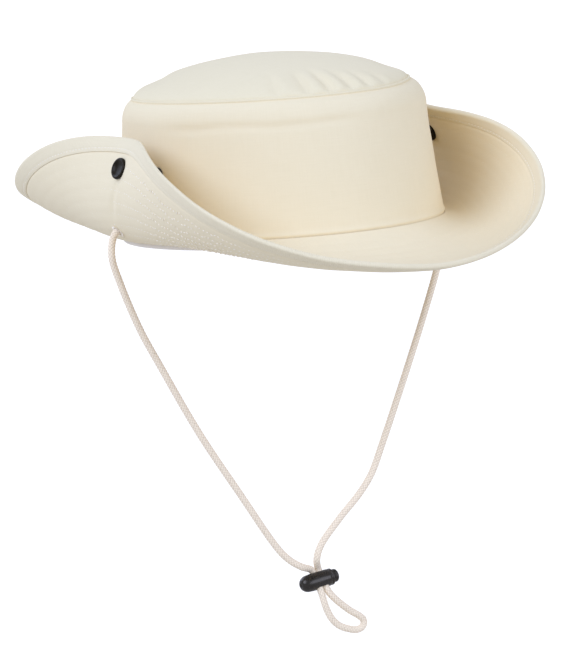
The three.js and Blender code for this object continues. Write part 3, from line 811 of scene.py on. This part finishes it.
def brim_section(angle):
    """The brim's middle line at an angle: out from the crown, height and slope, at every step."""
    degrees = turn_from(angle, 0)
    at_crown = round_the_hat(BRIM_SLOPES_AT_CROWN, angle) + slope_change(RIGHT_FLAP_AT_CROWN, degrees)
    at_edge = round_the_hat(BRIM_SLOPES_AT_EDGE, angle) + slope_change(RIGHT_FLAP_AT_EDGE, degrees)
    out, height = GAP, -BRIM_THICKNESS / 2
    section = []
    for number in range(round(BRIM_WIDTH / SECTION_STEP) + 1):
        run = number * SECTION_STEP
        slope = math.radians(at_crown + (at_edge - at_crown) * (run / BRIM_WIDTH) ** BRIM_CURL)
        section.append((out, height, slope))
        middle = (run + SECTION_STEP / 2) / BRIM_WIDTH
        slope = math.radians(at_crown + (at_edge - at_crown) * middle ** BRIM_CURL)
        out += math.cos(slope) * SECTION_STEP
        height += math.sin(slope) * SECTION_STEP
    return section


SECTIONS = [brim_section(math.radians(degree)) for degree in range(361)]


def brim_middle(angle, run):
    """The brim's middle surface at a distance from the crown, and the direction across it."""
    degrees = math.degrees(angle) % 360
    whole, part = int(degrees), degrees - int(degrees)
    step = min(run / SECTION_STEP, len(SECTIONS[0]) - 1.0001)
    number, share = int(step), step - int(step)
    found = []
    for value in range(3):
        near, far = (
            SECTIONS[line][number][value] * (1 - share) + SECTIONS[line][number + 1][value] * share
            for line in (whole, whole + 1)
        )
        found.append(near * (1 - part) + far * part)
    out, height, slope = found
    away = outward(angle)
    spot = oval(angle, HEAD_HALF_LENGTH, height) + away * out
    square = Vector((0, 0, math.cos(slope))) - away * math.sin(slope)
    thicken = ease(run, 0, BRIM_FLUSH_LENGTH)
    return spot, Vector((0, 0, 1)).lerp(square, thicken).normalized()


# A soft crease that runs in from the wearer's right snap towards the crown, with a ridge beside
# it. The lean and the widths are in degrees round the hat.
CREASE_TOP = 0.048
CREASE_FOOT = 0.018
CREASE_LEAN = (-82, -90)
CREASE_DEPTH = 0.0008
CREASE_WIDTH = 1.1
# The ridge's share of the depth, how far aside it lies and its width.
CREASE_RIDGE = (0.5, 2.2, 1.3)


def brim_drift(angle, spot, run):
    """How far the whole brim stands off its even sweep."""
    drift = BRIM_DENT * ease(run, 0.004, 0.02) * (ripple(spot, 0.06, 8) + 0.3 * ripple(spot, 0.02, 9))
    if CREASE_FOOT < run < CREASE_TOP:
        down = (CREASE_TOP - run) / (CREASE_TOP - CREASE_FOOT)
        aside = turn_from(angle, CREASE_LEAN[0] + (CREASE_LEAN[1] - CREASE_LEAN[0]) * down)
        fade = ease(down, 0, 0.2) * (1 - ease(down, 0.5, 1))
        drawn_in = hump(aside, CREASE_WIDTH) - form(aside, *CREASE_RIDGE)
        drift += CREASE_DEPTH * fade * drawn_in
    return drift


def quilting(run):
    """The depth of the grooves that the rows of stitches draw into a face of the brim."""
    phase = run / ROW_PITCH
    nearest = round(phase)
    if not 1 <= nearest <= STITCH_ROWS - 1:
        return 0.0
    return QUILTING_DEPTH * math.exp(-abs(phase - nearest) * QUILTING_SHARPNESS)


def brim_spot(angle, run, across):
    """A spot on or in the brim, and the direction across it."""
    middle, square = brim_middle(angle, run)
    return middle + square * (across + brim_drift(angle, middle, run)), square


def cloth_plan(angle, run):
    """Where a spot of the brim lies on the flat cloth that it was cut from."""
    spot = oval(angle, HEAD_HALF_LENGTH, 0) + outward(angle) * run
    return spot.x, spot.y


brim_rows = []
for face in (-1, 1):
    for row in range(BRIM_FACE_ROWS + 1):
        share = row / BRIM_FACE_ROWS if face < 0 else 1 - row / BRIM_FACE_ROWS
        run = INNER_WIDTH * share
        half = BRIM_THICKNESS / 2 - EDGE_THINNING * ease(share, 1 - 0.6 / BRIM_FACE_ROWS, 1)
        brim_rows.append((run, face * (half - quilting(run))))
brim_rows.append(brim_rows[0])


def brim_place(column, row):
    angle = math.tau * (column % BRIM_STEPS) / BRIM_STEPS
    run, across = brim_rows[row]
    spot, _ = brim_spot(angle, run, across)
    return spot, cloth_plan(math.tau * column / BRIM_STEPS, run)


brim = finished("brim_canvas", skin(BRIM_STEPS, len(brim_rows) - 1, brim_place), canvas)
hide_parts("brim")

# The holes through the brim: one on each side for the cord and one for the post of the snap.
CORD_HOLE_RADIUS = 0.0026
CORD_HOLE_ANGLE = 91
CORD_HOLE_RUN = 0.015
FLAP_SNAPS = [("right", -82.5, BRIM_WIDTH - 0.018), ("left", 92.5, BRIM_WIDTH - 0.0205)]
SNAP_HOLE_RADIUS = 0.0022
HOLE_TOOL_LENGTH = 0.008


def cut_away(piece, tool_shape):
    """Cuts the tool's shape out of the piece for good."""
    bmesh.ops.recalc_face_normals(tool_shape, faces=tool_shape.faces)
    tool = placed("tool", tool_shape)
    cut = piece.modifiers.new("Hole", "BOOLEAN")
    cut.operation = "DIFFERENCE"
    cut.solver = "EXACT"
    cut.object = tool
    seen = piece.evaluated_get(bpy.context.evaluated_depsgraph_get())
    done = bpy.data.meshes.new_from_object(seen)
    piece.modifiers.clear()
    spent = [piece.data, tool.data]
    piece.data = done
    done.name = piece.name
    bpy.data.objects.remove(tool)
    for mesh in spent:
        bpy.data.meshes.remove(mesh)


def upon(spot, direction):
    """The turn and place that put a shape made about Z at a spot, with Z along a direction."""
    turn = Vector((0, 0, 1)).rotation_difference(direction).to_matrix().to_4x4()
    return Matrix.Translation(spot) @ turn


hole_tools = bmesh.new()
for degrees, run, radius in (
    (-CORD_HOLE_ANGLE, CORD_HOLE_RUN, CORD_HOLE_RADIUS),
    (CORD_HOLE_ANGLE, CORD_HOLE_RUN, CORD_HOLE_RADIUS),
    *((degrees, run, SNAP_HOLE_RADIUS) for _, degrees, run in FLAP_SNAPS),
):
    spot, square = brim_middle(math.radians(degrees), run)
    bmesh.ops.create_cone(
        hole_tools, cap_ends=True, segments=32, radius1=radius, radius2=radius, depth=HOLE_TOOL_LENGTH,
        matrix=upon(spot, square),
    )
cut_away(brim, hole_tools)

# ------------------------------
# Brim edge band: a strip of the same canvas folded over the brim's edge and sewn down on both
# faces. It is a little thicker than the brim and its fold is drawn into fine ribs.
BAND_THICKNESS = 0.003
BAND_STEPS = 600
BAND_START = BRIM_WIDTH - BAND_WIDTH + GAP / 2
BAND_FACE_ROWS = 12
EDGE_ROWS = 12
# Its inner edges are turned in and rounded, and the hem's row of stitches draws a groove.
TURNED_EDGE = 0.0006
TURNED_DEPTH = 0.0004
HEM_ROW = BAND_START + 0.0018
HEM_GROOVE = 0.0003
HEM_GROOVE_WIDTH = 0.0007
# How far apart its two faces lie on the flat cloth.
BAND_FACES_APART = 0.03
# How firmly the sewing presses the inner edges onto the brim, 0 to 1. Below, it is firm in front
# and slackens where the flaps start, between these degrees from the front.
PRESSED_ABOVE = 0.7
PRESSED_BELOW = 1
SLACKENING = 0.65
FLAPS_START = 74
FLAPS_WHOLE = 84
# How wide the pressed strip is, how far it is pushed over the gap to the brim, in gaps, and the
# share of its height that it loses.
PRESSED_RUN = 0.004
PRESSED_OVER = 1.5
PRESSED_IN = 0.1

half = BAND_THICKNESS / 2
edge_rows = []
for face in (-1, 1):
    for row in range(BAND_FACE_ROWS):
        share = row / BAND_FACE_ROWS if face < 0 else 1 - (row + 1) / BAND_FACE_ROWS
        run = BAND_START + (BRIM_WIDTH - half - BAND_START) * share
        inner = 1 - min(1, (run - BAND_START) / TURNED_EDGE)
        depth = TURNED_DEPTH * inner ** 2 + form(run, HEM_GROOVE, HEM_ROW, HEM_GROOVE_WIDTH)
        edge_rows.append((run, face * (half - depth)))
    if face < 0:
        for row in range(EDGE_ROWS + 1):
            bend = math.pi * (row / EDGE_ROWS - 0.5)
            edge_rows.append((BRIM_WIDTH - half + half * math.cos(bend), half * math.sin(bend)))
edge_rows.append(edge_rows[0])

rim_marks = lengths_along([brim_middle(math.radians(degree), BRIM_WIDTH)[0] for degree in range(361)])


def edge_place(column, row):
    turn = column / BAND_STEPS * 360
    run, across = edge_rows[row]
    aside = abs(turn_from(math.radians(turn), 0))
    pressed = PRESSED_ABOVE
    if across < 0:
        pressed = PRESSED_BELOW - SLACKENING * ease(aside, FLAPS_START, FLAPS_WHOLE)
    inner = 1 - ease(run, BAND_START, BAND_START + PRESSED_RUN)
    run -= pressed * inner * PRESSED_OVER * GAP
    across *= 1 - pressed * inner * PRESSED_IN
    spot, _ = brim_spot(math.radians(turn % 360), run, across)
    apart = BAND_FACES_APART if row > BAND_FACE_ROWS + EDGE_ROWS // 2 else 0
    return spot, (at_degree(rim_marks, turn), run + apart)


BAND_LIGHT = (0.86, 0.78, 0.575, 1)
BAND_DARK = (0.80, 0.715, 0.505, 1)
band_canvas = woven_finish("band_canvas", BAND_LIGHT, BAND_DARK, ribs=True)
edge_band = finished("brim_edge_band_canvas", skin(BAND_STEPS, len(edge_rows) - 1, edge_place), band_canvas)
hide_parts("brim_edge_band")

# ------------------------------
# Stitching: pale cotton thread, in rows round the brim and along the edge band, along the
# sweatband's two hems and round the holes for the cord.
STITCH_PITCH = 0.0026
STITCH_LENGTH = 0.0014
THREAD_RADIUS = 0.00028
# How unevenly the machine sews: each stitch's place, its length and its distance from the row.
PLACE_ERROR = 0.0001
LENGTH_ERROR = 0.0002
ROW_ERROR = 0.0002
# Where a flap is bent, at these degrees from the front, the underside's thread strays and lifts.
BENDS = (-56, 56)
BEND_WIDTH = 21
STRAY = 0.0026
# In thread radii: how deep the thread lies, how much it lifts at a bend, how loose it is on flat
# cloth and by how much more at a bend.
THREAD_SUNK = 0.9
THREAD_LIFT = 1.45
LOOSE_FLAT = 0.25
LOOSE_BENT = 0.35
# The band's hem: from how many degrees its underside's thread shows, and its lift in radii.
HEM_SHOWS_FROM = 70
HEM_LIFT = 0.1
# The thread in the sweatband's hems: how far from the band's edges and how deep in its face.
LOWER_HEM_THREAD = 0.0045
UPPER_HEM_THREAD = 0.0035
HEM_THREAD_DEPTH = 0.0003
# The stitches round a cord hole: how many, how far each reaches over the edge, how far out it goes
# and how high its middle lies on the cloth.
BUTTONHOLE_STITCHES = 26
BUTTONHOLE_OVER = 0.0002
BUTTONHOLE_OUT = (0.0013, 0.0019)
BUTTONHOLE_LIFT = 0.0001

THREAD_LIGHT = (0.95, 0.91, 0.82, 1)
THREAD_DARK = (0.86, 0.79, 0.65, 1)
thread_cotton, tree, shader = new_finish("thread_cotton")
uneven = clouds(tree, put(tree, "ShaderNodeTexCoord").outputs["Object"], 0.0012, 1.2)
fill(tree, shader, {
    "Base Color": blended(tree, uneven, THREAD_DARK, THREAD_LIGHT),
    "Normal": bumped(tree, 0.6, 0.00005, uneven),
    "Roughness": 0.8, "Sheen Weight": 0.2,
})


def sew(shape, ends):
    """Adds one stitch between each pair of ends, a short thread that dips at both of them."""
    row = bmesh.new()
    for a, b in ends:
        middle = (a + b) / 2
        size = Matrix.Diagonal((THREAD_RADIUS, THREAD_RADIUS, (b - a).length / 2, 1))
        bmesh.ops.create_uvsphere(
            row, u_segments=5, v_segments=4, radius=1, matrix=upon(middle, (b - a).normalized()) @ size,
        )
    mesh = bpy.data.meshes.new("row")
    row.to_mesh(mesh)
    row.free()
    shape.from_mesh(mesh)
    bpy.data.meshes.remove(mesh)


def row_round(spot_at):
    """The ends of even stitches along a closed row; spot_at(angle) is a spot on it."""
    marks = lengths_along([spot_at(math.radians(degree)) for degree in range(361)])
    count = round(marks[-1] / STITCH_PITCH)

    def angle_at(length):
        span = min(max(bisect.bisect_right(marks, length) - 1, 0), 359)
        return math.radians(span + (length - marks[span]) / (marks[span + 1] - marks[span]))

    ends = []
    for number in range(count):
        first = marks[-1] * number / count + random.uniform(-PLACE_ERROR, PLACE_ERROR)
        length = STITCH_LENGTH + random.uniform(-LENGTH_ERROR, LENGTH_ERROR)
        ends.append((spot_at(angle_at(max(0, first))), spot_at(angle_at(min(marks[-1], first + length)))))
    return ends


def brim_thread(angle, row, face):
    """A spot on a row of the brim's thread, which strays and shows most where a flap is bent."""
    bent = sum(hump(turn_from(angle, bend), BEND_WIDTH) for bend in BENDS) if face < 0 else 0
    loose = LOOSE_FLAT + LOOSE_BENT * bent
    lift = (THREAD_LIFT * bent - THREAD_SUNK + random.uniform(-loose, loose)) * THREAD_RADIUS
    run = row * ROW_PITCH
    groove = quilting(run) * (1 - bent)
    stray = STRAY * bent * noise.noise((angle * 60, row * 7.3, 0.5))
    run += random.uniform(-ROW_ERROR, ROW_ERROR) + stray
    return brim_spot(angle, run, face * (BRIM_THICKNESS / 2 - groove + lift))[0]


brim_threads = bmesh.new()
for row in range(1, STITCH_ROWS):
    for face in (-1, 1):
        sew(brim_threads, row_round(lambda angle: brim_thread(angle, row, face)))
brim_stitching = finished("brim_stitching", brim_threads, thread_cotton)


def hem_lift(angle, face):
    """How far a hem stitch's middle stands off the band: the front's underside hides it."""
    hidden = 1 - ease(abs(turn_from(angle, 0)), HEM_SHOWS_FROM, FLAPS_WHOLE) if face < 0 else 0
    return (HEM_LIFT - hidden) * THREAD_RADIUS


band_threads = bmesh.new()
for face in (-1, 1):
    sew(band_threads, row_round(lambda angle: brim_spot(
        angle, HEM_ROW, face * (BAND_THICKNESS / 2 - HEM_GROOVE + hem_lift(angle, face)),
    )[0]))
# Two rows hem the sweatband's inside.
for height in (SWEATBAND_BOTTOM + LOWER_HEM_THREAD, SWEATBAND_TOP - UPPER_HEM_THREAD):
    reach = wall_reach(height) - CANVAS - GAP - SWEATBAND_THICKNESS - HEM_THREAD_DEPTH
    sew(band_threads, row_round(lambda angle: oval(angle, reach, height)))
# Buttonhole stitches round each hole for the cord, on both faces.
for side in (-1, 1):
    middle, square = brim_middle(math.radians(CORD_HOLE_ANGLE) * side, CORD_HOLE_RUN)
    place = upon(middle, square)
    for face in (-1, 1):
        ends = []
        for number in range(BUTTONHOLE_STITCHES):
            angle = math.tau * number / BUTTONHOLE_STITCHES
            ray = Vector((math.cos(angle), math.sin(angle), 0))
            level = Vector((0, 0, face * (BRIM_THICKNESS / 2 + BUTTONHOLE_LIFT)))
            ends.append((
                place @ (ray * (CORD_HOLE_RADIUS - BUTTONHOLE_OVER) + level),
                place @ (ray * (CORD_HOLE_RADIUS + random.uniform(*BUTTONHOLE_OUT)) + level),
            ))
        sew(band_threads, ends)
band_stitching = finished("edge_band_stitching", band_threads, thread_cotton)

# ------------------------------
# Flap snaps: a dished cap on the outside of each flap, a post through it and the socket that
# presses onto the crown's stud. Pressed steel with a black enamel.
SNAP_STEPS = 48
SNAP_BEVEL = 0.00008
STUD_BEVEL = 0.00006
# The turn in degrees from which an edge is rounded.
ROUNDED_TURN = 40


def turned(corners, steps, bevel):
    """A closed shape turned about Z from a profile of (radius, height) in millimetres."""
    shape = bmesh.new()
    points = [shape.verts.new((radius / 1000, 0, height / 1000)) for radius, height in corners]
    edges = [shape.edges.new(pair) for pair in zip(points, points[1:])]
    bmesh.ops.spin(
        shape, geom=points + edges, cent=(0, 0, 0), axis=(0, 0, 1), angle=math.tau, steps=steps,
        use_merge=True, use_duplicate=False,
    )
    bmesh.ops.remove_doubles(shape, verts=shape.verts, dist=WELD)
    bmesh.ops.recalc_face_normals(shape, faces=shape.faces)
    corners = [
        edge for edge in shape.edges
        if edge.is_manifold and edge.calc_face_angle(0) > math.radians(ROUNDED_TURN)
    ]
    bmesh.ops.bevel(
        shape, geom=corners, offset=bevel, affect="EDGES", segments=3, profile=0.5,
        material=-1, clamp_overlap=True,
    )
    return shape


def glossy_finish(name, colours, worn, roughness, grain, relief, others):
    """A black finish that handling has worn in small clouds, with a fine grain in relief.

    worn is the clouds' size and contrast, roughness what they add and what they add it to, grain
    its scale and detail, relief its strength and depth, and others what the shader has as it is."""
    material, tree, shader = new_finish(name)
    where = put(tree, "ShaderNodeTexCoord").outputs["Object"]
    mask = clouds(tree, where, *worn)
    fill(tree, shader, {
        "Base Color": blended(tree, mask, *colours),
        "Roughness": sums(tree, "MULTIPLY_ADD", mask, *roughness),
        "Normal": bumped(tree, *relief, noisy(tree, where, *grain)),
        **others,
    })
    return material


def fitting(name, profile, bevel, spot, direction):
    """An enamelled piece turned from its profile, at its spot on the cloth."""
    shape = turned(profile, SNAP_STEPS, bevel)
    bmesh.ops.transform(shape, matrix=upon(spot, direction), verts=shape.verts)
    return finished(f"{name}_enamelled", shape, snap_enamel)


# Each black finish's two colours: as made, and where handling has dulled it.
ENAMEL = [(0.008, 0.0065, 0.004, 1), (0.015, 0.012, 0.008, 1)]
snap_enamel = glossy_finish(
    "snap_enamel", ENAMEL, worn=(0.0022, 1.4), roughness=(0.12, 0.3), grain=(2600.0, 2.0),
    relief=(0.15, 0.00002), others={
        "Specular IOR Level": 0.13, "Specular Tint": (1.0, 0.84, 0.66, 1),
        "Coat Weight": 0.05, "Coat Roughness": 0.12,
    },
)

CAP_PROFILE = [
    (0, -1.75), (1.7, -1.8), (2.9, -1.95), (3.7, -2.3), (4.4, -2.95), (4.9, -3.1), (5.4, -2.95),
    (5.75, -2.6), (5.9, -2.1), (5.85, -1.5), (5.6, -1.3), (1.8, -1.3), (1.8, 1.3), (4.5, 1.3),
    (4.6, 1.6), (4.6, 2.9), (4.3, 3.5), (3.8, 3.8), (3.1, 3.8), (2.75, 3.6), (2.7, 2.2), (0, 2.2),
]
for name, degrees, run in FLAP_SNAPS:
    spot, square = brim_middle(math.radians(degrees), run)
    snap = fitting(f"flap_snap_{name}", CAP_PROFILE, SNAP_BEVEL, spot, square)
    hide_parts(f"flap_snap_{name}")

# ------------------------------
# Crown studs: a flange and a ball head on the crown's outside, riveted through the canvas to a
# back plate inside. The same black enamel.
STUD_HEIGHT = 0.034
CROWN_STUDS = [("right", -81), ("left", 90)]
STUD_PROFILE = [
    (0, -2.7), (3.9, -2.7), (4.4, -2.5), (4.6, -2.1), (4.5, -1.75), (1.8, -1.7), (1.8, 0.3),
    (4.5, 0.3), (4.6, 0.6), (4.3, 1.1), (3.2, 1.35), (2.1, 1.4), (1.9, 1.5), (2.2, 1.75), (2.4, 2.2),
    (2.35, 2.7), (2.0, 3.2), (1.3, 3.45), (0, 3.5),
]
for name, degrees in CROWN_STUDS:
    angle = math.radians(degrees)
    out_of_cloth = (outward(angle) + Vector((0, 0, WALL_TAPER / SHOULDER_START))).normalized()
    spot = oval(angle, wall_reach(STUD_HEIGHT), STUD_HEIGHT)
    stud = fitting(f"crown_stud_{name}", STUD_PROFILE, STUD_BEVEL, spot, out_of_cloth)
    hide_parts(f"crown_stud_{name}")

# ------------------------------
# Cord knots: the cord's own two ends tied off above the brim in overhand stopper knots, pulled
# tight, that keep them from slipping back through the holes.
KNOT_TUBE_RADIUS = 0.0015
KNOT_SPREAD = 0.0027
KNOT_RISE = 0.0017
KNOT_FOOT = BRIM_THICKNESS / 2 + 2 * GAP
KNOT_STEPS = 140
KNOT_SIDES = 24
# The share of the knot's closed path where the tied cord starts, and how much of it it takes.
KNOT_START = 0.06
KNOT_TAKES = 0.9

for side, name in ((-1, "right"), (1, "left")):
    spot, square = brim_middle(math.radians(CORD_HOLE_ANGLE) * side, CORD_HOLE_RUN)
    place = upon(spot + square * (KNOT_FOOT + KNOT_RISE + KNOT_TUBE_RADIUS), square)
    path = []
    for number in range(KNOT_STEPS + 1):
        t = math.tau * (KNOT_START + KNOT_TAKES * number / KNOT_STEPS)
        path.append(place @ Vector((
            (math.sin(t) + 2 * math.sin(2 * t)) * KNOT_SPREAD / 3,
            (math.cos(t) - 2 * math.cos(2 * t)) * KNOT_SPREAD / 3,
            -math.sin(3 * t) * KNOT_RISE,
        )))
    knot = finished(f"cord_knot_{name}_tied", braided(path, KNOT_TUBE_RADIUS, KNOT_SIDES), cord_cotton)
    stands_off(knot, path, KNOT_TUBE_RADIUS)
    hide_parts(f"cord_knot_{name}")

# ------------------------------
# Cord lock: a moulded barrel, closed at the wearer's right, with a leaning cross hole for both
# strands, and a sprung plunger whose slot pinches them. Black nylon.
LOCK_STEPS = 64
BARREL_PROFILE = [
    (0, -11.0), (0.9, -11.1), (1.3, -11.5), (1.7, -11.7), (2.4, -11.5), (3.2, -10.9), (3.9, -10.0),
    (4.35, -9.1), (4.6, -8.2), (4.85, -5.5), (5.0, -1.9), (4.95, 2.0), (4.8, 5.0), (4.7, 6.0),
    (4.45, 6.25), (4.45, 6.7), (4.7, 6.95), (4.65, 7.7), (4.4, 8.0), (4.0, 8.0), (4.0, -8.7), (0, -8.7),
]
PLUNGER_PROFILE = [
    (0, -5.6), (3.5, -5.6), (3.7, -5.4), (3.7, 8.3), (3.5, 8.45), (3.5, 8.7), (3.7, 8.85), (3.7, 9.15),
    (3.5, 9.3), (3.5, 9.55), (3.7, 9.7), (3.7, 10.3), (3.5, 10.8), (2.9, 11.3), (1.8, 11.6), (0, 11.7),
]
HOLE_LENGTH = 0.0086
HOLE_WIDTH = 0.0047
HOLE_TOOL_DEPTH = 0.02
LOCK_BEVEL = 0.00008
PLUNGER_TRAVEL = 0.0025


def cross_hole(first, last):
    """A rounded slot tool between two places along the barrel, leaning as the strands do."""
    shape = bmesh.new()
    bmesh.ops.create_cube(shape, size=1)
    bmesh.ops.scale(shape, vec=(HOLE_WIDTH, HOLE_TOOL_DEPTH, last - first), verts=shape.verts)
    bmesh.ops.translate(shape, vec=(0, 0, (first + last) / 2), verts=shape.verts)
    long_edges = [
        edge for edge in shape.edges
        if abs((edge.verts[0].co - edge.verts[1].co).normalized().y) > 0.9
    ]
    bmesh.ops.bevel(
        shape, geom=long_edges, offset=0.499 * HOLE_WIDTH, affect="EDGES", segments=8, profile=0.5,
        material=-1,
    )
    bmesh.ops.rotate(
        shape, cent=(0, 0, 0), matrix=Matrix.Rotation(math.pi / 2 - HOLE_LEAN, 3, "Z"), verts=shape.verts,
    )
    bmesh.ops.transform(shape, matrix=upon(LOCK_CENTRE, LOCK_AXIS), verts=shape.verts)
    return shape


NYLON = [(0.006, 0.006, 0.0065, 1), (0.012, 0.012, 0.0125, 1)]
lock_plastic = glossy_finish(
    "lock_plastic", NYLON, worn=(0.004, 1.3), roughness=(0.1, 0.2), grain=(1500.0, 3.0),
    relief=(0.3, 0.00004), others={"IOR": 1.5, "Specular Tint": (1.0, 0.88, 0.74, 1)},
)

hole_first, hole_last = HOLE_MIDDLE - HOLE_LENGTH / 2, HOLE_MIDDLE + HOLE_LENGTH / 2
for name, profile, first, last, body in (
    ("cord_lock_barrel", BARREL_PROFILE, hole_first, hole_last, "hat"),
    ("cord_lock_plunger", PLUNGER_PROFILE, hole_first - GAP, hole_last + PLUNGER_TRAVEL + GAP, "plunger"),
):
    shape = turned(profile, LOCK_STEPS, LOCK_BEVEL)
    bmesh.ops.transform(shape, matrix=upon(LOCK_CENTRE, LOCK_AXIS), verts=shape.verts)
    piece = finished(f"{name}_moulded", shape, lock_plastic, sharp=60, body=body)
    cut_away(piece, cross_hole(first, last))
    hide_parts(name)

# ------------------------------
# Studio: a wide white floor below the hanging loop, a dim surround, a broad soft lamp to each
# side of the camera and a weak one behind.
FLOOR_HEIGHT = -0.30
FLOOR_SIZE = 60.0
FLOOR_GLOW = 0.45
FLOOR_COLOUR = (0.74, 0.71, 0.66, 1)
SURROUND_LIGHT = (0.58, 0.59, 0.64, 1)
SURROUND_SEEN = (1.1, 1.1, 1.1, 1)
LAMP_COLOUR = (0.86, 0.985, 1.345)
LAMP_SPREAD = math.radians(40)
# Each lamp: its name, its strength, how far aside it stands and how high, in degrees.
LAMPS = [("lamp_left", 1.32, -74, 34), ("lamp_right", 0.93, 26, 15), ("lamp_behind", 0.5, -160, 30)]

floor_paper, tree, shader = new_finish("floor_paper")
seen = put(tree, "ShaderNodeLightPath").outputs["Is Camera Ray"]
underneath = put(tree, "ShaderNodeNewGeometry").outputs["Backfacing"]
fill(tree, shader, {
    "Base Color": FLOOR_COLOUR, "Roughness": 1.0, "Specular IOR Level": 0.0,
    "Alpha": sums(tree, "SUBTRACT", 1.0, underneath),
    "Emission Color": blended(tree, seen, (0, 0, 0, 1), (1, 1, 1, 1)), "Emission Strength": FLOOR_GLOW,
})
floor_shape = bmesh.new()
bmesh.ops.create_grid(
    floor_shape, x_segments=1, y_segments=1, size=FLOOR_SIZE,
    matrix=Matrix.Translation((0, 0, FLOOR_HEIGHT)),
)
floor = placed("floor", floor_shape)
floor.data.materials.append(floor_paper)

world = bpy.data.worlds.new("surround")
scene.world = world
world.use_nodes = True
tree = world.node_tree
seen = put(tree, "ShaderNodeLightPath").outputs["Is Camera Ray"]
fill(tree, tree.nodes["Background"], {
    "Color": blended(tree, seen, SURROUND_LIGHT, SURROUND_SEEN), "Strength": 1.0,
})

for name, energy, aside, height in LAMPS:
    lamp = bpy.data.objects.new(name, bpy.data.lights.new(name, "SUN"))
    lamp.data.energy = energy
    lamp.data.angle = LAMP_SPREAD
    lamp.data.color = LAMP_COLOUR
    lamp.rotation_euler = (math.radians(90 - height), 0, math.radians(aside))
    scene.collection.objects.link(lamp)

scene.view_settings.view_transform = "Standard"
